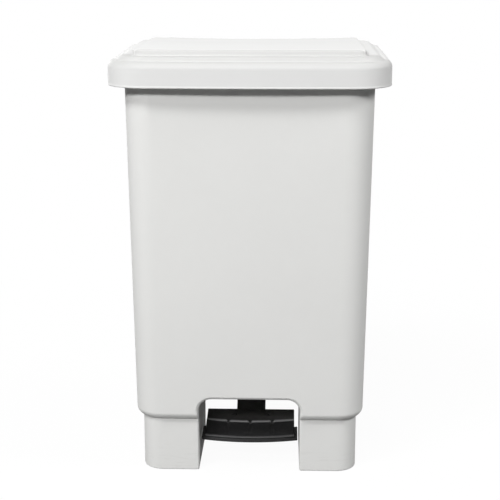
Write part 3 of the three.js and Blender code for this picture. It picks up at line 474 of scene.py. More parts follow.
class Number:
    """A socket of numbers. An expression with it adds Math nodes."""

    def __init__(self, finish, socket):
        self.finish, self.socket = finish, socket

    __add__ = __radd__ = maths("ADD")
    __mul__ = __rmul__ = maths("MULTIPLY")
    __sub__, __rsub__ = maths("SUBTRACT"), maths("SUBTRACT", True)
    most = maths("MAXIMUM")

    def between(self, low, high):
        """0 below low, 1 above high, and smooth between them."""
        return self.finish.node("ShaderNodeMapRange", {"interpolation_type": "SMOOTHSTEP"}, {0: self, 1: low, 2: high})


class Finish:
    """A material, put together node by node."""

    def __init__(self, name, tree=None):
        if tree is None:
            self.material = bpy.data.materials.new(name)
            self.material.use_nodes = True
            tree = self.material.node_tree
        self.tree = tree
        tree.nodes.clear()

    def node(self, kind, settings=None, sockets=None, output=0):
        """Adds a node with its settings and the values or links of its sockets, and gives one of its outputs."""
        made = self.tree.nodes.new(kind)
        for key, value in (settings or {}).items():
            setattr(made, key, value)
        for key, value in (sockets or {}).items():
            if isinstance(value, Number):
                self.tree.links.new(value.socket, made.inputs[key])
            else:
                made.inputs[key].default_value = value
        return Number(self, made.outputs[output]) if len(made.outputs) else None

    def place(self):
        """The place on the piece, in metres."""
        return self.node("ShaderNodeTexCoord", output="Object")

    def share(self, name):
        """A share that the piece holds at each of its points."""
        return self.node("ShaderNodeAttribute", {"attribute_name": name}, output="Fac")

    def seen(self):
        """1 for camera, glossy and transmission rays, so that the background shows white in each."""
        camera, glossy, clear = (self.node("ShaderNodeLightPath", output=f"Is {kind} Ray")
                                 for kind in ("Camera", "Glossy", "Transmission"))
        return camera.most(glossy).most(clear)

    def noise(self, size, detail=2.0, stretch=None):
        """Noise whose features are about a size in metres across, drawn out by a stretch in X, Y and Z."""
        place = self.place()
        if stretch:
            place = self.node("ShaderNodeMapping", None, {0: place, 3: stretch})
        return self.node("ShaderNodeTexNoise", None, {"Vector": place, "Scale": 1 / size, "Detail": detail})

    def mixed(self, factor, low, high):
        """A colour between two colours."""
        return self.node("ShaderNodeMix", {"data_type": "RGBA"}, {0: factor, 6: low, 7: high}, 2)

    def bump(self, height, distance, strength):
        """A normal that leans with a height from 0 to 1 over a distance in metres."""
        return self.node("ShaderNodeBump", None, {"Height": height, "Distance": distance, "Strength": strength})

    def surface(self, **sockets):
        """A Principled shader with sockets named in lower case, joined to the output."""
        named = {key.replace("_", " ").title().replace("Ior", "IOR"): value for key, value in sockets.items()}
        shader = self.node("ShaderNodeBsdfPrincipled", None, named)
        self.node("ShaderNodeOutputMaterial", None, {"Surface": shader})
        return self.material


def tint(base, factor=1.0):
    """A linear colour scaled by a factor, with full alpha."""
    return (*[min(channel * factor, 1.0) for channel in base], 1.0)


def moulded(name, base, roughness, grain, depth, scuffed=0.0, painted_shade_share=0.0, shine=0.5):
    """Satin moulded plastic: slow clouding in colour and gloss, a fine skin grain, faint rubbed marks near the floor,
    up to a height, and painted shade (darker on the lid's shoulder and steps) where the piece's own share of it says."""
    finish = Finish(name)
    mottle = finish.noise(0.018, 3.0)
    shade = finish.mixed(finish.noise(0.16, 3.0) * 0.7 + mottle * 0.3, tint(base, 0.968), tint(base, 1.03))
    rough = roughness - 0.05 + mottle * 0.1
    if scuffed:
        height = finish.node("ShaderNodeSeparateXYZ", None, {0: finish.place()}, 2)
        streaks = finish.noise(0.012, 4.0, (0.5, 0.5, 3.0)).between(0.5, 0.72)
        rubbed = (1 - height.between(0.0, scuffed)) * streaks
        shade = finish.mixed(rubbed * 0.1, shade, tint(SCUFF))
        rough = rough + rubbed * 0.16
    if painted_shade_share:
        # painted shade: darker where the share says, on the lid's shoulder and steps
        shade = finish.mixed(finish.share("dust_and_painted_shading") * painted_shade_share, shade, tint(PAINTED_SHADE))
    normal = finish.bump(finish.noise(grain, 2.0), depth, 0.6)
    return finish.surface(base_color=shade, roughness=rough, normal=normal, specular_ior_level=shine)


def grained_black(name, base):
    """Grained black plastic: a pebbled skin, dust in its hollows, painted light where the piece's own share says, and
    crests worn smooth where shoes rub, lighter there with a painted highlight.
    """
    finish = Finish(name)
    worn_and_highlit = finish.share("worn_and_highlit")
    pebble = finish.node("ShaderNodeTexVoronoi", {"feature": "SMOOTH_F1"},
                         {"Vector": finish.place(), "Scale": 1100.0, "Smoothness": 0.6}, "Distance")
    cloud = finish.noise(0.03, 3.0)
    dust_and_painted_shading = finish.noise(0.006, 4.0).between(0.52, 0.78) * (1 - worn_and_highlit)
    shade = finish.mixed(cloud, tint(base, 0.8), tint(base, 1.25))
    shade = finish.mixed(dust_and_painted_shading * 0.035, shade, tint(DUST_AND_PAINTED_LIGHT))
    # painted light: lighter where the share says, on the tread's rear plate and the lever, which lie in the arch's
    # shade
    shade = finish.mixed(finish.share("dust_and_painted_shading") * (0.10 + cloud * 0.08), shade, tint(DUST_AND_PAINTED_LIGHT))
    # worn crests and lip: partly real wear, partly a painted highlight in light grey
    shade = finish.mixed(worn_and_highlit * 0.8, shade, tint(WORN_AND_HIGHLIGHT))
    rough = 0.46 + cloud * 0.08 + dust_and_painted_shading * 0.2 - worn_and_highlit * 0.24
    normal = finish.bump(pebble * (1 - worn_and_highlit * 0.85), 0.00012, 0.5)
    return finish.surface(base_color=shade, roughness=rough, normal=normal, specular_ior_level=0.22)


def plated(name, base, roughness):
    """Plated steel: fine drawn lines along the piece, clouded gloss and a slight spangle."""
    finish = Finish(name)
    cloud = finish.noise(0.004, 3.0)
    spangle = finish.node("ShaderNodeTexVoronoi", None, {"Vector": finish.place(), "Scale": 420.0}, "Color")
    level = finish.node("ShaderNodeSeparateColor", None, {0: spangle})
    shade = finish.mixed(level * 0.5 + cloud * 0.5, tint(base, 0.86), tint(base, 1.08))
    rough = roughness + cloud * 0.16 + level * 0.05
    normal = finish.bump(finish.noise(0.0006, 2.0, (1.0, 1.0, 0.12)), 0.00004, 0.4)
    return finish.surface(base_color=shade, roughness=rough, metallic=1.0, normal=normal)


def rubber_skin(name, base):
    """Matte black rubber with a fine tooth and pale bloom."""
    finish = Finish(name)
    bloom = finish.noise(0.003, 4.0)
    normal = finish.bump(finish.noise(0.0004, 2.0), 0.00008, 0.6)
    shade = finish.mixed(bloom, tint(base, 0.8), tint(base, 2.0))
    return finish.surface(base_color=shade, roughness=0.72 + bloom * 0.15, normal=normal)


def finish_named(slot):
    """The material of one finish slot, made once."""
    tones = bpy.context.scene.can_finishes
    maker, *values = {
        "tub_plastic": (moulded, tones.tub, tones.gloss, 0.0007, 0.00003, 0.06, 0.0, tones.shine),
        # the lid's 0.32 is how much painted shade darkens its shoulder and steps
        "lid_plastic": (moulded, tones.lid, tones.gloss, 0.0007, 0.00003, 0.0, 0.32, 0.25),
        "liner_plastic": (moulded, tones.liner, 0.5, 0.0009, 0.00005),
        "grey_plastic": (moulded, tones.bush, 0.45, 0.0005, 0.00003),
        "black_plastic": (grained_black, tones.black),
        "black_rubber": (rubber_skin, tones.rubber),
        "zinc_steel": (plated, tones.zinc, 0.26),
        "black_steel": (plated, tones.dark, 0.45),
    }[slot]
    return bpy.data.materials.get(f"fine_{slot}") or maker(f"fine_{slot}", *values)


# ---------------------------------------------------------------- tub

def tub_plan(s, z):
    """Half width, front and rear of the tub at a height: straight lines between the bottom and the rim."""
    part = (np.asarray(z, float) - s.underside) / (s.rim_top - s.underside)
    return (s.half_width_bottom + (s.half_width_top - s.half_width_bottom) * part,
            s.front_bottom + (s.front_top - s.front_bottom) * part,
            s.rear_bottom + (s.rear_top - s.rear_bottom) * part)


def tub_rings(s, z, inset):
    """Rings of the tub's wall, drawn in by an inset."""
    z, inset = np.broadcast_arrays(np.asarray(z, float), np.asarray(inset, float))
    half, front, rear = tub_plan(s, z)
    return raised(outline(inset - half, half - inset, inset - front, rear - inset, s.corner - inset), z)


def rim_rings(s, z, outset):
    """Rings of the rim, which stands out from the wall's top all round, but less at the rear."""
    z, outset = np.broadcast_arrays(np.asarray(z, float), np.asarray(outset, float))
    half = s.half_width_top + outset
    past = np.where(outset > s.rim_rear, s.rim_rear - (s.rim_width - outset), outset)
    rear = s.rear_top + np.maximum(past, np.minimum(outset, s.rim_rear - s.rim_lip))
    return raised(outline(-half, half, -s.front_top - outset, rear, s.corner + outset), z)


def lower_edge(s, z):
    """How far the tub's lower edge is drawn in at a height: a quarter ellipse below the wall, with the lift raised to
    a power so that its end is less turned under."""
    lift = np.clip((np.asarray(z, float) - s.underside) / s.lower_edge, 0, 1) ** (1 / EDGE_POWER)
    return s.leg_inset * (1 - np.sqrt(np.clip(1 - (1 - lift) ** 2, 0, 1)))


def legs(s, shrink=0.0):
    """The four legs: rounded outlines up from the floor, drawn in round the foot on a quarter ellipse. Shrunk by the
    wall, they are the pockets inside."""
    top = s.underside + s.lower_edge
    if shrink:
        z, inset = np.array([s.wall, top]), np.zeros(2)
    else:
        rise, left = quarter(7)
        z, inset = np.append(s.foot_edge * rise, top), np.append(s.foot_edge / 2 * left, 0)
    for side in (-1, 1):
        for rear in (False, True):
            inner = s.arch_half + (s.rear_leg_set_in if rear else -OVERRUN) + shrink
            x0, x1 = spans(side, inner, s.half_width_bottom - s.leg_inset - shrink)
            wall_y = s.rear_bottom - s.leg_inset
            front_y = (wall_y - s.rear_leg_depth if rear else -s.leg_front) + shrink
            rear_y = (wall_y if rear else s.leg_depth - s.leg_front) - shrink
            radii = np.tile(s.leg_corner - shrink - inset[:, None], (1, 4))
            mirrored = int(side < 0)
            radii[:, mirrored if rear else 3 - mirrored] = s.corner - s.leg_inset - shrink - inset
            if not rear:
                radii[:, 2 + mirrored] = OVERRUN / 2
            plan = outline(x0 + inset, x1 - inset, front_y + inset, rear_y - inset, radii)
            yield build("leg", raised(plan, z))


def arch_tool(s, grow=0.0):
    """The space of the arch: its outline in X and Z carried along Y. At both ends it flares on a quarter ellipse, so
    that the edges it leaves are rounded, more on the tub than on the legs."""
    half, top, corner = s.arch_half + grow, s.arch_height + grow, s.arch_corner + grow
    rise = np.concatenate([[-OVERRUN], np.linspace(0, s.foot_edge, 7),
                           np.linspace(s.underside, s.underside + s.lower_edge, 15)])
    turn = np.linspace(0, pi / 2, ARC_STEPS + 1)
    x = np.concatenate([np.full(len(rise), half), half - corner + corner * np.cos(turn), [0]])
    z = np.concatenate([rise, top - corner + corner * np.sin(turn), [top]])
    out_x = np.concatenate([np.ones(len(rise)), np.cos(turn), [0]])
    out_z = np.concatenate([np.zeros(len(rise)), np.sin(turn), [1]])
    if not grow:
        low = np.clip(1 - z / s.foot_edge, 0, 1)
        x = x + s.foot_edge / 2 * (1 - np.sqrt(1 - low ** 2))
    x, z, out_x, out_z = (np.concatenate([run, flip * run[-2::-1]])
                          for run, flip in ((x, -1), (z, 1), (out_x, -1), (out_z, 1)))
    part = np.clip((z - s.underside) / (s.lower_edge * 1.2), 0, 1)
    part = part * part * (3 - 2 * part)
    width = s.arch_edge + (s.arch_roll - s.arch_edge) * part
    depth = s.arch_edge + (s.arch_roll * 1.7 - s.arch_edge) * part
    _, front, rear = tub_plan(s, z)
    front_y = np.where(z < s.underside, -s.leg_front, np.minimum(-s.leg_front, lower_edge(s, z) - front))
    steps = np.ones((1, 1)) if grow else np.linspace(0, 1, 9)[:, None]
    reach = np.concatenate([np.full((1, len(z)), -OVERRUN * 3), steps * depth])
    out = 1 - np.sqrt(1 - (1 - steps) ** 2)
    out = np.concatenate([out[:1], out, out[::-1], out[:1]])
    y = np.concatenate([front_y + reach, rear - lower_edge(s, z) - reach[::-1]])
    narrow = 1 - np.clip((y + s.leg_front) / s.leg_depth, 0, 1) * s.arch_lean / half
    return build("arch", np.stack([(x + out_x * width * out) * narrow, y, z + out_z * width * out], -1))


def channel_tool(s, grow, bottom, top):
    """The rod channel: its plan section carried upwards. Where it meets the rear wall its sides flare on a quarter
    circle, so that the channel's edges are rounded."""
    half, floor, corner, edge = s.channel_half + grow, s.channel_floor - grow, s.channel_corner + grow, s.channel_edge
    rise, left = quarter(6)
    x = np.concatenate([[0], (half - corner * rise)[::-1], half + edge * rise, [half + edge]])
    rings = []
    for rear_y in tub_plan(s, [bottom, top])[2]:
        y = np.concatenate([[floor], (floor + corner * left)[::-1], rear_y - edge * left, [rear_y + s.rim_width]])
        rings.append(np.stack([np.concatenate([x, -x[:0:-1]]), np.concatenate([y, y[:0:-1]])], -1))
    return build("channel", raised(np.array(rings), [bottom, top]))


def ear_profile(s, lid):
    """Side view of a hinge ear: a half disc round the pin, run into the rear wall with a gusset below."""
    wall_y = s.rear_top - 0.001
    wall = [[wall_y, lid.hinge_z + lid.ear_radius], [wall_y, lid.hinge_z - 0.024]]
    return np.concatenate([arc(lid.hinge_y, lid.hinge_z, lid.ear_radius, -pi / 2, pi / 2, 17), wall])


def hanger_profile(s, pedal):
    """Side view of a pivot hanger: a half disc round the axle, run up into the arch's ceiling."""
    half, top = 0.012, s.arch_height + 0.001
    return np.concatenate([arc(pedal.pivot_y, pedal.pivot_z, half, pi, 2 * pi, 25),
                           [[pedal.pivot_y + half, top], [pedal.pivot_y - half, top]]])


def guide_seat(s, rod, height):
    """Where the rear wall lies behind a guide."""
    return float(tub_plan(s, height + rod.guide_half)[2])


def drill(radius, y0, y1, x, z):
    """A cutter for a round hole along Y."""
    return plug("drill", radius, y0, y1, facing((0, 1, 0), (x, 0, z)))


class CAN_OT_tub(bpy.types.Operator):
    """Builds the tub with its rim, legs, arch, rod channel, hinge ears and pivot hangers"""
    bl_idname = "can.tub"
    bl_label = "Tub"

    def execute(self, context):
        s, lid, pedal, rod = sizes("tub", "lid", "pedal", "rod")
        rise, left = quarter(11)
        z = np.append(s.underside + s.lower_edge * rise ** EDGE_POWER, s.rim_top)
        tub = build("tub", tub_rings(s, z, np.append(s.leg_inset * left, 0)))
        rim_bottom, lip = s.rim_top - s.rim_depth, 0.0008
        rise, left = quarter(7)
        rim_z = np.concatenate([[rim_bottom, rim_bottom + lip], s.rim_top - s.rim_round * left])
        rim_out = np.concatenate([[s.rim_width - lip, s.rim_width], s.rim_width - s.rim_round * rise])
        hollow = build("hollow", rim_rings(s, [rim_bottom - OVERRUN, s.rim_top - s.rim_plate], s.rim_width - s.rim_lip))
        cut(hollow, build("wall", tub_rings(s, [rim_bottom - OVERRUN * 2, s.rim_top], 0)))
        join(tub, build("rim", rim_rings(s, rim_z, rim_out)))
        cut(tub, hollow)
        join(tub, *legs(s))
        inside = build("inside", tub_rings(s, [s.underside + s.wall, s.underside + s.lower_edge, s.rim_top + OVERRUN],
                                           [s.leg_inset + s.wall, s.wall, s.wall]))
        join(inside, *legs(s, s.wall))
        join(inside, build("rabbet", rim_rings(s, [s.rim_top - s.seat, s.rim_top + OVERRUN], s.seat - s.wall)))
        cut(inside, arch_tool(s, s.wall), channel_tool(s, s.wall, s.arch_height, s.rim_top + OVERRUN * 2))
        cut(tub, arch_tool(s))
        cut(tub, inside, channel_tool(s, 0, s.arch_height - OVERRUN, s.rim_top + OVERRUN))
        self.join_ears(tub, s, lid, pedal)
        holes = [prism("hinge_bore", disc(lid.hinge_y, lid.hinge_z, lid.pin + GAP), -0.12, 0.12),
                 prism("axle_bore", disc(pedal.pivot_y, pedal.pivot_z, pedal.axle + GAP), -0.031, 0.031)]
        for height in (rod.guide_low, rod.guide_high):
            seat_y = guide_seat(s, rod, height)
            front_y, rear_y = seat_y - s.wall - OVERRUN, seat_y + OVERRUN * 2
            holes += [drill(rod.screw + GAP, front_y, rear_y, side * rod.screw_x, height) for side, _ in SIDES]
        cut(tub, *holes)
        dress(tub, "bin", "body_shell", "tub_plastic")
        return {"FINISHED"}

    def join_ears(self, tub, s, lid, pedal):
        """Joins a pivot hanger and two hinge ears to the tub on each side."""
        hanger, ear = hanger_profile(s, pedal), ear_profile(s, lid)
        inner = pedal.arm_half + GAP * 2 + 0.0015
        near = lid.knuckle / 2 + SWING_GAP
        ears = []
        for side in (-1, 1):
            ears.append(prism("hanger", hanger, *spans(side, inner, inner + 0.006), 0.0007))
            ears += [prism("ear", ear, *spans(side, start, start + lid.ear), 0.0009)
                     for start in (lid.hinge_x - near - lid.ear, lid.hinge_x + near)]
        join(tub, *ears)


# ---------------------------------------------------------------- lid and liner

def lid_rings(s, inset, z, drop):
    """Rings of the lid from a profile of inset and height. The outline goes from the skirt's round corners to the
    panel's tight ones, and on to the middle. At the sides the first step is a slope. The front bows forward with the
    square of the distance from the middle, and the panel falls to the rear and is dished, each in step with the
    height over the first step."""
    knots = [0, STEP_IN, PANEL_IN, PANEL_EDGE, LID_MIDDLE]
    side_in = np.array([0, LEDGE_IN, SIDE_STEP_FOOT, STEP_IN, PANEL_IN, PANEL_EDGE])
    end_in = np.array([0, STEP_IN, PANEL_IN + PANEL_SET_BACK, PANEL_EDGE + PANEL_SET_BACK])
    half_x = np.interp(inset, [0, LEDGE_IN, STEP_FOOT, *knots[1:]], [*s.half_width - side_in, 0.003])
    half_y = np.interp(inset, knots, [*s.half_depth - end_in, 0.0025])
    radius = np.interp(inset, knots, [s.corner, s.corner - STEP_IN, 0.012, 0.0095, 0.002])
    rings = raised(outline(-half_x, half_x, -half_y, half_y, radius, 12), z)
    x, y = rings[..., 0].copy(), rings[..., 1].copy()
    rings[..., 1] += s.bow * np.clip(-y / s.half_depth, 0, 1) * (x / s.half_width) ** 2
    panel_half, panel_depth = s.half_width - PANEL_IN, s.half_depth - PANEL_IN - PANEL_SET_BACK
    back = np.clip((y + panel_depth) / (2 * panel_depth), 0, 1)
    fall = back * (s.rear_drop + s.dish * np.clip(1 - (x / panel_half) ** 2, 0, 1))
    rings[..., 2] -= fall * np.clip((rings[..., 2] - drop) / (s.top - s.step_top), 0, 1)
    return rings


def slot_profile(lid, rod, half_width):
    """Side view of the slot in the lid's tab: a run with round ends along a line through the hinge axis."""
    rod_offset = lid.hinge_y - rod.rod_y
    line = pi + HALF_OPENING
    ends = ((rod_offset / cos(HALF_OPENING) + 0.0008, line), (rod_offset - 0.0008, line + pi))
    return np.concatenate([arc(lid.hinge_y + reach * cos(line), lid.hinge_z + reach * sin(line), half_width,
                               way - pi / 2, way + pi / 2, 17) for reach, way in ends])


def stop_y(tub):
    """Where the rubber stops stand on the front rim, close to the liner's seat."""
    return -(tub.front_top + tub.seat - tub.wall + STOP_RADIUS + GAP)


class CAN_OT_lid(bpy.types.Operator):
    """Builds the lid with its skirt, shoulder, steps, dished panel, hinge knuckles, tab and stop pegs"""
    bl_idname = "can.lid"
    bl_label = "Lid"

    def execute(self, context):
        tub, s, rod = sizes("tub", "lid", "rod")
        lid = build("lid_cover", self.cover_rings(s))
        tab_top = s.hinge_z - (s.hinge_y - rod.rod_y) * tan(HALF_OPENING)
        slot_half, roof = rod.rod + 0.0013, s.ledge - s.wall
        tab = prism("tab", slot_profile(s, rod, slot_half + 0.0042), -rod.tab_half, rod.tab_half, 0.0006)
        join(tab, block("tab_web", (-rod.tab_half, rod.rod_y - 0.007, tab_top),
                        (rod.tab_half, rod.rod_y + 0.007, s.step_top - s.wall + 0.001), 0.0006))
        cut(tab, prism("slot", slot_profile(s, rod, slot_half), -rod.tab_half - OVERRUN, rod.tab_half + OVERRUN))
        peg = [(0, -PEG_LENGTH), (PEG_RADIUS - 0.0004, -PEG_LENGTH), (PEG_RADIUS, 0.0004 - PEG_LENGTH),
               (PEG_RADIUS, 0.001), (0, 0.001)]
        notches, knuckles = [], []
        for side in (-1, 1):
            reach = s.knuckle / 2 + SWING_GAP + s.ear + 0.003
            x0, x1 = spans(side, s.hinge_x - reach, s.hinge_x + reach)
            notches.append(block("notch", (x0, s.hinge_y - s.ear_radius, s.bottom - 0.01),
                                 (x1, s.half_depth + 0.01, s.hinge_z + s.ear_radius + 0.003), 0.0015))
            x0, x1 = spans(side, s.hinge_x - s.knuckle / 2, s.hinge_x + s.knuckle / 2)
            knuckles.append(join(prism("knuckle", disc(s.hinge_y, s.hinge_z, s.ear_radius), x0, x1, 0.0008),
                                 block("knuckle_web", (x0, tub.rear_top + tub.rim_rear + 0.003, s.hinge_z),
                                       (x1, s.hinge_y + s.ear_radius, roof + 0.001), 0.0006)))
            knuckles.append(turned("peg", peg, Matrix.Translation((side * STOP_X, stop_y(tub), roof)), 24))
        cut(lid, *notches)
        join(lid, tab, *knuckles)
        cut(lid, prism("pin_bore", disc(s.hinge_y, s.hinge_z, s.pin + GAP), -0.13, 0.13))
        self.paint_step_shade(lid, s)
        dress(lid, "lid", "lid", "lid_plastic")
        return {"FINISHED"}

    def cover_rings(self, s):
        """The cover's profile, out and up over the skirt, shoulder and steps to the middle, and back inside."""
        wall, rim_in = s.wall, s.wall / 2
        outer = open_fillet([(rim_in, s.bottom), (0, s.bottom), (0, s.bottom + 0.0018), (s.draft, s.bottom + 0.0038),
                             (s.draft, s.ledge), (STEP_FOOT, s.ledge), (STEP_IN, s.step_top), (PANEL_IN, s.step_top),
                             (0.0381, s.top), (PANEL_FLAT, s.top)],
                            [0, 0.0012, 0.002, 0.004, s.shoulder, 0.0016, 0.0022, 0.0018, 0.0032, 0])
        inner = open_fillet([(PANEL_FLAT, s.top - wall), (0.0415, s.top - wall), (0.040, s.step_top - wall),
                             (0.0235, s.step_top - wall), (0.022, s.ledge - wall), (wall, s.ledge - wall),
                             (wall, s.bottom), (rim_in, s.bottom)],
                            [0, 0.0015, 0.0015, 0.0015, 0.0015, 0.007, 0.0014, 0])
        reach = np.linspace(PANEL_FLAT, LID_MIDDLE, 16)[1:]
        outer = np.concatenate([outer, np.stack([reach, np.full(15, s.top)], -1)])[::-1]
        inner = np.concatenate([inner[::-1], np.stack([reach, np.full(15, s.top - wall)], -1)])
        return np.concatenate([lid_rings(s, *outer.T, s.step_top), lid_rings(s, *inner.T, s.step_top - wall)])

    def paint_step_shade(self, lid, s):
        """Writes painted shade on the lid: darker on the shoulder and steps at its front, outside the raised panel."""
        def step_shade(x, y, z):
            """Ramps outwards from the panel, up the shoulder and to the front, multiplied."""
            straight = y - s.bow * np.clip(-y / s.half_depth, 0, 1) * (x / s.half_width) ** 2
            outside = np.maximum(np.abs(x) - s.half_width, np.abs(straight) - s.half_depth + PANEL_SET_BACK) + 0.0408
            high = np.clip((z - s.ledge + s.shoulder) / s.shoulder * 1.6, 0, 1)
            return np.clip(outside / 0.0006, 0, 1) * high * np.clip((-y - 0.105) / 0.025, 0, 1)
        # painted shade share on the lid's shoulder and steps
        write_share(lid, "dust_and_painted_shading", step_shade)


class CAN_OT_liner(bpy.types.Operator):
    """Builds the lift-out liner that hangs in the tub by its rolled rim"""
    bl_idname = "can.liner"
    bl_label = "Liner"

    def execute(self, context):
        s, = sizes("tub")
        wall, channel_gap, floor_round = 0.0022, 0.0025, 0.008
        bottom = s.arch_height + s.wall + GAP
        flange_bottom = s.rim_top - s.seat + GAP
        flange_top = flange_bottom + 0.003

        def rings(z, inset):
            """Rings of the liner: the tub's plan drawn in by a gap that grows downwards, and in front of the rod
            channel at the rear."""
            half, front, _ = tub_plan(s, z)
            gap = s.wall + 0.007 + 0.005 * (s.rim_top - z) / (s.rim_top - s.underside) + inset
            rear = s.channel_floor - s.wall - channel_gap - inset
            return raised(outline(gap - half, half - gap, gap - front, rear, 0.034 - inset), z)

        rise, left = quarter(7)
        foot_z, foot_in = bottom + floor_round * rise, floor_round * left
        shell = build("liner_bucket", rings(np.append(foot_z, flange_top), np.append(foot_in, 0)))
        flange = build("flange", rim_rings(s, [flange_bottom, flange_bottom + 0.0006, flange_top - 0.001, flange_top],
                                           np.array([-0.0006, 0, 0, -0.001]) + s.seat - s.wall - GAP * 2))
        cut(flange, channel_tool(s, s.wall + channel_gap - GAP, flange_bottom - OVERRUN, flange_top + OVERRUN))
        join(shell, flange)
        inside_z = np.concatenate([foot_z + wall, [flange_top - 0.0008, flange_top, flange_top + OVERRUN]])
        inside_in = np.concatenate([foot_in + wall, [wall, wall - 0.0008, wall - 0.0008]])
        cut(shell, build("inside", rings(inside_z, inside_in)))
        dress(shell, "bin", "inner_liner", "liner_plastic")
        return {"FINISHED"}


# ---------------------------------------------------------------- pedal

def tread_rings(s, profile, x, shrink):
    """Rings of the tread: its side profile at each place across, drawn in at the two ends, bowed forward with the
    square of the distance from the middle, and sunk at the crest's breaks."""
    rear_y, crest_y = s.depth - s.front, CREST - s.front
    y, z = np.moveaxis(np.array([grown(profile, -amount) for amount in shrink]), -1, 0)
    across = np.asarray(x)[:, None]
    toward_front = np.clip((rear_y - y) / (rear_y - crest_y), 0, 1)
    bowed = y + s.bow * toward_front * (across / s.wing) ** 2
    crest = np.clip(1 - np.abs(y - crest_y) / 0.0052, 0, 1) * (z > 0.0572)
    nearest = np.abs(across[..., None] - np.arange(-1, 2) * s.groove_pitch).min(-1)
    depth = 1 - np.clip((nearest - s.groove * 0.28) / (s.groove * 0.3), 0, 1)
    return np.stack([across + 0 * y, bowed, z - BREAK_DEPTH * depth * np.clip(crest * 3, 0, 1)], -1)


def tread_underside(s, y):
    """Height of the tread's flat underside behind the crest: a straight slope up to the rear."""
    start, rear = CREST + CREST_HALF - s.front, s.depth - s.front
    return UNDER_CREST + (UNDER_REAR - UNDER_CREST) * (y - start) / (rear - start)


def tread_screws(s):
    """Side, place and direction of the tread's two screws, which stand upright on its underside."""
    slope = atan2(UNDER_REAR - UNDER_CREST, s.depth - CREST)
    way = Vector((0, -sin(slope), cos(slope)))
    return [(name, Vector((side * s.screw_x, -s.screw_y, tread_underside(s, -s.screw_y))), way)
            for side, name in SIDES]


def tread_screw_holes(s):
    """Cutters for the holes of the tread's screws."""
    return [plug("hole", SCREW_HOLE, -0.02, 0.02, facing(way, place)) for _, place, way in tread_screws(s)]


class CAN_OT_tread(bpy.types.Operator):
    """Builds the tread: its bowed lip, hollow, broken crest, sloping rear plate and side wings"""
    bl_idname = "can.tread"
    bl_label = "Tread"

    def execute(self, context):
        s, = sizes("pedal")
        front, rear, crest = -s.front, s.depth - s.front, CREST - s.front
        corners = [(front, 0.0415, 0.0009), (front + s.wall, 0.0415, 0.0008), (front + 0.0062, 0.0440, 0.003),
                   (front + 0.013, 0.0440, 0.006), (crest - CREST_HALF, UNDER_CREST, 0.004),
                   (crest + CREST_HALF, UNDER_CREST, 0.002), (rear, UNDER_REAR, 0.0007), (rear, TREAD_TOP, 0.0009),
                   (crest + CREST_HALF, 0.0578, 0.0012), (crest + 0.0016, 0.0598, 0.0013),
                   (crest - 0.0030, 0.0598, 0.0007), (crest - 0.0038, 0.0575, 0.0006),
                   (front + 0.013, 0.0480, 0.008), (front + 0.0065, 0.0480, 0.002), (front + 0.0052, 0.0505, 0.0016),
                   (front, 0.0505, 0.0012), (front, 0.0485, 0.0008), (front + 0.0024, 0.0470, 0.0008),
                   (front + 0.0016, 0.0448, 0.0006), (front, 0.0440, 0.0007)]
        profile = fillet([corner[:2] for corner in corners], [corner[2] for corner in corners], 5)
        end = 0.001
        rise, left = quarter(5)
        plain = np.linspace(end - s.half_width, s.half_width - end, 61)[1:-1]
        near = (np.linspace(-1, 1, 9) * s.groove)[:, None] + np.arange(-1, 2) * s.groove_pitch
        inner = np.unique(np.round(np.concatenate([plain, near.ravel()]), 6))
        x = np.concatenate([end * rise - s.half_width, inner, s.half_width - end * rise[::-1]])
        shrink = end * np.concatenate([left, np.zeros(len(inner)), left[::-1]])
        plate = build("tread_plate", tread_rings(s, profile, x, shrink))
        wing_end = front + s.wing_depth
        wing = fillet([(front, 0.0415), (wing_end, 0.0415), (wing_end, 0.0465), (front, 0.0465)],
                      [0.0008, 0.002, 0.002, 0.0014], 5)
        x = np.concatenate([[s.half_width - 0.004], s.wing - end * rise[::-1]])
        shrink = end * np.concatenate([[0], left[::-1]])
        join(plate, *[build("wing", tread_rings(s, wing, (side * x)[::side], shrink[::side])) for side in (-1, 1)])
        cut(plate, *tread_screw_holes(s))
        self.mark_wear_and_painted_light(plate, s)
        dress(plate, "pedal", "pedal_tread", "black_plastic")
        return {"FINISHED"}

    def mark_wear_and_painted_light(self, plate, s):
        """Writes where shoes rub the tread, the top of the crest and of the front lip, which also carry a painted
        highlight, and painted light on the rear plate in the arch's shade, rising towards the rear.
        """
        def rubbed(x, y, z):
            """1 on top of the crest and a quarter on top of the lip, with the bow taken out."""
            straight = y - s.bow * (x / s.wing) ** 2
            crest = (z > 0.0584) & (straight < 0.052 - s.front)
            lip = (z > 0.0490) & (straight < 0.008 - s.front)
            return crest + lip * 0.25
        # wear on the crest and lip, which also carries a painted highlight
        write_share(plate, "worn_and_highlit", rubbed)
        # painted light on the rear plate, rising towards the rear against the arch's shade
        write_share(plate, "dust_and_painted_shading", lambda x, y, z: np.clip((y + s.front - 0.048) / 0.042, 0, 1) * 1.7)


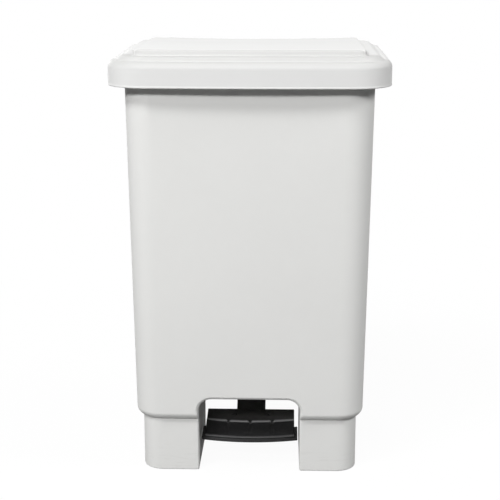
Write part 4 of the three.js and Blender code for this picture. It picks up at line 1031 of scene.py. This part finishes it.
class CAN_OT_lever(bpy.types.Operator):
    """Builds the lever: the head under the tread, the flanged and ribbed arm, the hub and the rear bar with its eye"""
    bl_idname = "can.lever"
    bl_label = "Lever"

    def execute(self, context):
        s, rod = sizes("pedal", "rod")
        front, head_front, rear = -s.screw_y, CREST + CREST_HALF - s.front, s.depth - s.front
        under, under_head, under_rear = (tread_underside(s, y) - GAP for y in (front, head_front, rear))
        slope_y = s.pivot_y - 0.033
        knee = np.array([rear + GAP + 0.001 + s.hub, TREAD_TOP + 0.0055])
        end = np.array([slope_y, s.pivot_z + 0.0037])

        def side_view(y, low, high, rounding):
            """The arm from the screws back to a place near the pivot, where it has a low and a high edge."""
            points = [(front, under - 0.007), (front, under - 0.0105), (slope_y, under - 0.007), (y, low), (y, high),
                      end, knee, (knee[0] - s.hub, under_rear), (front, under)]
            return fillet(points, [0, 0.001, 0.004, rounding, rounding, 0.004, 0.002, 0.001, 0], 5)

        head = [(head_front, under_head - 0.007), (rear, under_rear - 0.007), (rear, under_rear),
                (head_front, under_head)]
        lever = prism("lever_arm", fillet(head, 0.001, 4), -s.head_half, s.head_half, 0.001)
        arm = side_view(s.pivot_y, s.pivot_z - s.hub, s.pivot_z + s.hub, 0)
        broad = side_view(slope_y + 0.012, s.pivot_z - 0.0055, s.pivot_z + 0.0062, 0.001)
        lean = atan2(rod.low - s.pivot_z, rod.rod_y - s.pivot_y)
        side = np.array([-sin(lean), cos(lean)]) * 0.0075
        pivot, eye = np.array([s.pivot_y, s.pivot_z]), np.array([rod.rod_y, rod.low])
        bar = np.array([pivot - side, eye - side, eye + side, pivot + side])
        join(lever, *[prism("arm", profile, -half, half, rounding) for profile, half, rounding in
                      ((arm, s.arm_half, 0.0012), (broad, s.arm_half + s.arm_flange, 0.0012),
                       (disc(*pivot, s.hub), s.arm_half, 0.0008), (bar, s.bar_half, 0.0012),
                       (disc(*eye, 0.009), s.bar_half, 0.0012))])
        seat = disc(*pivot, s.axle + BUSH_WALL + GAP * 2)
        cut(lever, *[prism("bore", profile, x0, x1) for profile, x0, x1 in
                     ((disc(*pivot, s.axle + GAP * 2), -0.03, 0.03), (seat, s.arm_half - 0.0103, 0.03),
                      (seat, -0.03, 0.0103 - s.arm_half), (disc(*eye, rod.rod + 0.0012), -0.02, 0.02))],
            *tread_screw_holes(s), self.ribbed_bed(s, knee, end))
        # painted light all over the lever, which lies in the arch's shade
        write_share(lever, "dust_and_painted_shading", lambda x, y, z: np.full(len(x), 1.5))
        dress(lever, "pedal", "pedal_lever", "black_plastic")
        return {"FINISHED"}

    def ribbed_bed(self, s, knee, end):
        """The shallow bed between the arm's side flanges: its floor is a row of low cross ribs, each a raised cosine
        along the arm."""
        part = np.linspace(0, 1, 121)[:, None]
        floor = knee + (end - knee) * part
        ribs = 0.00035 * (1 + np.cos(part * hypot(*(end - knee)) / 0.0028 * 2 * pi)) / 2
        floor[:, 1:] += ribs - 0.0014
        over = np.array([0, 0.004])
        return prism("bed", np.concatenate([floor, [end + over, knee + over]]), 0.0042 - s.arm_half,
                     s.arm_half - 0.0042)


class CAN_OT_axle(bpy.types.Operator):
    """Builds the lever's axle with its bushes and end caps"""
    bl_idname = "can.axle"
    bl_label = "Axle, bushes and caps"

    def execute(self, context):
        s, = sizes("pedal")
        bore, cap_wall = s.axle + GAP, 0.0015
        inner, flange_start = s.arm_half - 0.01, s.arm_half + GAP
        flange_end = flange_start + 0.0015
        cap_start = flange_end + GAP * 2 + 0.006
        cap_end = cap_start + 0.005
        axle_end = cap_end - cap_wall - GAP
        pivot = (0, s.pivot_y, s.pivot_z)
        half = open_fillet([(0, axle_end), (s.axle, axle_end), (s.axle, 0)], [0, 0.001, 0])
        bar = turned("axle_bar", np.concatenate([half * [1, -1], half[::-1]]), facing((1, 0, 0), pivot))
        dress(bar, "bin", "lever_axle", "zinc_steel")
        outer, flange = bore + BUSH_WALL, bore + BUSH_WALL * 2
        bush = fillet([(bore, inner), (outer, inner), (outer, flange_start), (flange, flange_start),
                       (flange, flange_end), (bore, flange_end)], [0.0003, 0.0005, 0.0002, 0.0004, 0.0004, 0.0003], 3)
        cap = open_fillet([(0, cap_end), (0.008, cap_end), (0.008, cap_start), (bore, cap_start),
                           (bore, cap_end - cap_wall), (0, cap_end - cap_wall)],
                          [0, 0.0018, 0.0004, 0.0003, 0.0003, 0], 5)
        for side, name in SIDES:
            place = facing((side, 0, 0), pivot)
            dress(turned(f"bush_{name}", bush, place, closed=True), "pedal", f"axle_bush_{name}", "grey_plastic")
            dress(turned(f"cap_{name}", cap, place), "bin", f"axle_cap_{name}", "zinc_steel")
        return {"FINISHED"}


# ---------------------------------------------------------------- rod, guides, hinges and small parts

class CAN_OT_rod(bpy.types.Operator):
    """Builds the lift rod with its two hooks and its retaining clips"""
    bl_idname = "can.rod"
    bl_label = "Lift rod and clips"

    def execute(self, context):
        s, pedal = sizes("rod", "pedal")
        hooks = (("lower", pedal.bar_half + GAP, s.low), ("upper", s.tab_half + GAP, s.high))
        wire = build("lift_wire", self.wire_rings(s, *[start + CLIP_WIDTH + 0.0015 for _, start, _ in hooks]))
        dress(wire, "rod", "lift_rod", "zinc_steel")
        bore = s.rod + GAP
        rim = s.clip - (s.clip - bore) / 3
        for name, start, height in hooks:
            clip = fillet([(bore, start), (rim, start), (s.clip, start + CLIP_WIDTH / 2), (rim, start + CLIP_WIDTH),
                           (bore, start + CLIP_WIDTH)], [0.0002, 0.0006, 0.0008, 0.0006, 0.0002], 4)
            ring = turned(f"wire_clip_{name}", clip, facing((1, 0, 0), (0, s.rod_y, height)), closed=True)
            dress(ring, "rod", f"rod_clip_{name}", "zinc_steel")
        return {"FINISHED"}

    def wire_rings(self, s, low_end, high_end):
        """Circles along the wire: in from the lower hook's end, round a quarter circle, up, round another quarter
        circle and out to the upper hook's end. Both ends have a chamfer."""
        chamfer = 0.0005
        rise, left = quarter(13)
        turn = np.linspace(0, pi / 2, 13)
        x = np.concatenate([[low_end, low_end - chamfer], s.bend * left - s.side, s.bend * rise - s.side,
                            [high_end - chamfer, high_end]])[:, None]
        z = np.concatenate([[s.low] * 2, s.low + s.bend * rise, s.high - s.bend * left, [s.high] * 2])[:, None]
        turn = np.concatenate([[0] * 2, turn, turn + pi / 2, [pi] * 2])[:, None]
        radius = np.full_like(x, s.rod)
        radius[[0, -1]] -= chamfer
        around = np.arange(28) * 2 * pi / 28
        return np.stack([x + radius * np.sin(turn) * np.cos(around), s.rod_y + radius * np.sin(around),
                         z + radius * np.cos(turn) * np.cos(around)], -1)


def screw(name, place, direction, length_of, radius, head):
    """A pan-head screw: a turned profile with a domed head, and a cross recess of two tapered blades."""
    matrix = facing(direction, place)
    height = 0.0016
    profile = open_fillet([(0, -length_of), (radius / 2, -length_of), (radius, radius - length_of), (radius, 0),
                           (head, 0), (head, height * 0.45), (head * 0.55, height), (0, height)],
                          [0, 0, 0, 0, 0.0002, 0.0006, 0.0012, 0], 4)
    half, thin = np.array([head * 0.28, head * 0.62]), np.array([0.0003, 0.00045])
    blade = raised(outline(-half, half, -thin, thin, np.full(2, 0.0001)), [height * 0.35, height + 0.0005])
    return cut(turned(name, profile, matrix, 32), *[build("blade", moved(blade, matrix @ Matrix.Rotation(turn, 4, "Z")))
                                                    for turn in (0.3, 0.3 + pi / 2)])


class CAN_OT_guides(bpy.types.Operator):
    """Builds the two guides that hold the rod in its channel, and their screws"""
    bl_idname = "can.guides"
    bl_label = "Rod guides and screws"

    def execute(self, context):
        tub, s = sizes("tub", "rod")
        around = s.rod + 0.0036
        for name, height in (("lower", s.guide_low), ("upper", s.guide_high)):
            seat = guide_seat(tub, s, height) + GAP
            low, high = height - s.guide_half, height + s.guide_half
            y, inset = rounded_run(seat, seat + s.guide_plate, 0.0008)
            plan = outline(inset - s.guide_width, s.guide_width - inset, low + inset, high - inset, 0.004 - inset)
            guide = build(f"wire_guide_{name}", raised(plan, y)[..., [0, 2, 1]])
            left = max(-s.side - around, GAP - tub.channel_half)
            join(guide, block("bed", (left, s.rod_y - around, low), (around - s.side, seat + s.guide_plate / 2, high),
                              0.0008))
            cut(guide, plug("bore", s.rod + GAP, -0.02, 0.02, Matrix.Translation((-s.side, s.rod_y, height)), 28),
                *[drill(s.screw + GAP, seat - 0.01, seat + 0.01, side * s.screw_x, height) for side, _ in SIDES])
            dress(guide, "bin", f"rod_guide_{name}", "black_plastic")
            for side, side_name in SIDES:
                place = (side * s.screw_x, seat + s.guide_plate + GAP, height)
                piece = screw(f"plate_screw_{name}_{side_name}", place, (0, 1, 0), 0.009, s.screw, s.screw_head)
                dress(piece, "bin", f"guide_screw_{name}_{side_name}", "zinc_steel")
        return {"FINISHED"}


class CAN_OT_hinges(bpy.types.Operator):
    """Builds the two headed hinge pins"""
    bl_idname = "can.hinges"
    bl_label = "Hinge pins"

    def execute(self, context):
        s, = sizes("lid")
        reach = s.knuckle / 2 + SWING_GAP + s.ear
        head = reach + GAP
        profile = open_fillet([(0, -reach - 0.002), (s.pin, -reach - 0.002), (s.pin, head), (0.0054, head),
                               (0.0054, head + 0.0013), (0.003, head + 0.002), (0, head + 0.002)],
                              [0, 0.001, 0, 0.0003, 0.0008, 0.002, 0], 5)
        for side, name in SIDES:
            pin = turned(f"pin_{name}", profile, facing((side, 0, 0), (side * s.hinge_x, s.hinge_y, s.hinge_z)))
            dress(pin, "bin", f"hinge_pin_{name}", "zinc_steel")
        return {"FINISHED"}


class CAN_OT_stops(bpy.types.Operator):
    """Builds the two rubber stops under the front of the lid"""
    bl_idname = "can.stops"
    bl_label = "Rubber stops"

    def execute(self, context):
        tub, lid = sizes("tub", "lid")
        roof = lid.ledge - lid.wall
        bottom, top = tub.rim_top + GAP, roof - GAP
        bore, bore_floor = PEG_RADIUS + GAP, roof - PEG_LENGTH - GAP
        profile = open_fillet([(0, bottom), (STOP_RADIUS, bottom), (STOP_RADIUS, top), (bore, top),
                               (bore, bore_floor), (0, bore_floor)], [0, 0.0013, 0.0004, 0.0003, 0.0003, 0], 6)
        for side, name in SIDES:
            stop = turned(f"rubber_stop_{name}", profile, Matrix.Translation((side * STOP_X, stop_y(tub), 0)))
            dress(stop, "lid", f"lid_bumper_{name}", "black_rubber")
        return {"FINISHED"}


class CAN_OT_screws(bpy.types.Operator):
    """Builds the two screws that hold the tread on the lever"""
    bl_idname = "can.screws"
    bl_label = "Tread screws"

    def execute(self, context):
        s, rod = sizes("pedal", "rod")
        for name, place, way in tread_screws(s):
            piece = screw(f"tread_screw_{name}", place + way * (s.wall + GAP), way, 0.012, rod.screw, rod.screw_head)
            dress(piece, "pedal", f"pedal_screw_{name}", "black_steel")
        return {"FINISHED"}


# ---------------------------------------------------------------- stage

class CAN_OT_stage(bpy.types.Operator):
    """Builds the white floor, the world, the lamps and the camera"""
    bl_idname = "can.stage"
    bl_label = "Stage"

    def execute(self, context):
        s, = sizes("stage")
        scene = context.scene
        reach, around = np.array([0, 0.3, 0.6, 1.2, 2.5, 6, 15, 40.0]), np.arange(64) * 2 * pi / 64
        rings = np.stack([reach[:, None] * np.cos(around), reach[:, None] * np.sin(around),
                          np.full((len(reach), 64), -0.0002)], -1)
        index = np.arange(rings.shape[0] * 64).reshape(-1, 64)
        quads = np.stack([index[:-1], index[1:], np.roll(index[1:], -1, 1), np.roll(index[:-1], -1, 1)], -1)
        mesh = bpy.data.meshes.new("floor")
        mesh.from_pydata(rings.reshape(-1, 3).tolist(), [], quads.reshape(-1, 4).tolist())
        floor = bpy.data.objects.new("floor", mesh)
        scene.collection.objects.link(floor)
        finish = Finish("floor_white")
        place = finish.place()
        away = finish.node("ShaderNodeVectorMath", {"operation": "LENGTH"}, {0: place}, "Value")
        white = finish.node("ShaderNodeEmission", None, {"Color": (1, 1, 1, 1), "Strength": 1.0})
        paper = finish.node("ShaderNodeBsdfDiffuse", None, {"Color": (0.9, 0.9, 0.9, 1)})
        grey = finish.node("ShaderNodeBsdfDiffuse", None, {"Color": (0.16, 0.16, 0.16, 1)})
        lit = finish.node("ShaderNodeMixShader", None, {0: 0.955 + away.between(0.35, 1.1) * 0.045, 1: paper, 2: white})
        shown = finish.node("ShaderNodeMixShader", None, {0: finish.seen(), 1: grey, 2: lit})
        finish.node("ShaderNodeOutputMaterial", None, {"Surface": shown})
        mesh.materials.append(finish.material)

        world = bpy.data.worlds.new("studio")
        world.use_nodes = True
        scene.world = world
        sky = Finish("studio", world.node_tree)
        upward = sky.node("ShaderNodeSeparateXYZ", None, {0: sky.node("ShaderNodeTexCoord", output="Generated")}, 2)
        glow = s.horizon + upward.between(0.1, 0.75) * (s.ambient - s.horizon)
        around_light = sky.node("ShaderNodeBackground", None, {"Color": (1, 1, 1, 1), "Strength": glow})
        white = sky.node("ShaderNodeBackground", None, {"Color": (1, 1, 1, 1), "Strength": 1.0})
        shown = sky.node("ShaderNodeMixShader", None, {0: sky.seen(), 1: around_light, 2: white})
        sky.node("ShaderNodeOutputWorld", None, {"Surface": shown})

        self.lamp("key", s.key, -20, 30, 4.5, 2.4, 0.5)
        self.lamp("high", s.high, -42, 50, 4.5, 1.0, 0.8)
        self.lamp("side", s.side, 80, 35, 4.5, 1.6, 1.6)
        self.lamp("rear", s.rear, -148, 11, 4.5, 2.0, 1.4)

        camera = bpy.data.objects.new("camera", bpy.data.cameras.new("camera"))
        camera.data.sensor_width = FILM_WIDTH
        camera.data.lens = FOCAL_LENGTH * FILM_WIDTH / PHOTO_WIDTH
        camera.location = (s.camera_distance * sin(s.camera_turn), -s.camera_distance * cos(s.camera_turn),
                           s.camera_height)
        camera.rotation_euler = (pi / 2 - s.camera_tilt, 0, s.camera_turn + s.camera_yaw)
        camera.data.clip_end = 200
        scene.collection.objects.link(camera)
        scene.camera = camera
        scene.view_settings.view_transform = "Standard"
        return {"FINISHED"}

    def lamp(self, name, brightness, side, height, distance, width, tall):
        """A soft lamp at an angle to the side and a height in degrees. Its power is the brightness times pi squared
        times the square of the distance, so that a brightness of 1 lights a face that looks at it as it is written."""
        light = bpy.data.lights.new(name, "AREA")
        light.shape = "RECTANGLE"
        light.size = width
        light.size_y = tall
        light.energy = brightness * pi * pi * distance * distance
        turn, lift = radians(side), radians(height)
        toward = Vector((sin(turn) * cos(lift), -cos(turn) * cos(lift), sin(lift)))
        lamp = bpy.data.objects.new(name, light)
        lamp.matrix_world = facing(toward, Vector((0, 0, 0.35)) + toward * distance)
        bpy.context.scene.collection.objects.link(lamp)


class CAN_PT_panel(bpy.types.Panel):
    """Lists the pieces of the trash can and their sizes"""
    bl_idname = "CAN_PT_panel"
    bl_label = "Trash can"
    bl_space_type = "VIEW_3D"
    bl_region_type = "UI"
    bl_category = "Trash can"

    def draw(self, context):
        for operator in OPERATORS:
            self.layout.operator(operator.bl_idname)
        for name in GROUPS:
            group = getattr(context.scene, name)
            box = self.layout.box()
            for key in group.__annotations__:
                box.prop(group, key)


GROUPS = {"can_tub": TubSizes, "can_lid": LidSizes, "can_pedal": PedalSizes, "can_rod": RodSizes,
          "can_finishes": Finishes, "can_stage": StageSettings}
OPERATORS = (CAN_OT_tub, CAN_OT_lid, CAN_OT_liner, CAN_OT_tread, CAN_OT_lever, CAN_OT_axle, CAN_OT_rod,
             CAN_OT_guides, CAN_OT_hinges, CAN_OT_stops, CAN_OT_screws, CAN_OT_stage)


def register():
    """Registers the classes and gives the scene its groups of sizes."""
    for kind in (*GROUPS.values(), *OPERATORS, CAN_PT_panel):
        bpy.utils.register_class(kind)
    for name, group in GROUPS.items():
        setattr(bpy.types.Scene, name, bpy.props.PointerProperty(type=group))


def unregister():
    """Takes them away again."""
    for name in GROUPS:
        delattr(bpy.types.Scene, name)
    for kind in (CAN_PT_panel, *reversed(OPERATORS), *reversed(GROUPS.values())):
        bpy.utils.unregister_class(kind)


def main():
    """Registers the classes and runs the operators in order."""
    register()
    for operator in OPERATORS:
        category, name = operator.bl_idname.split(".")
        getattr(getattr(bpy.ops, category), name)()


if __name__ == "__main__":
    main()
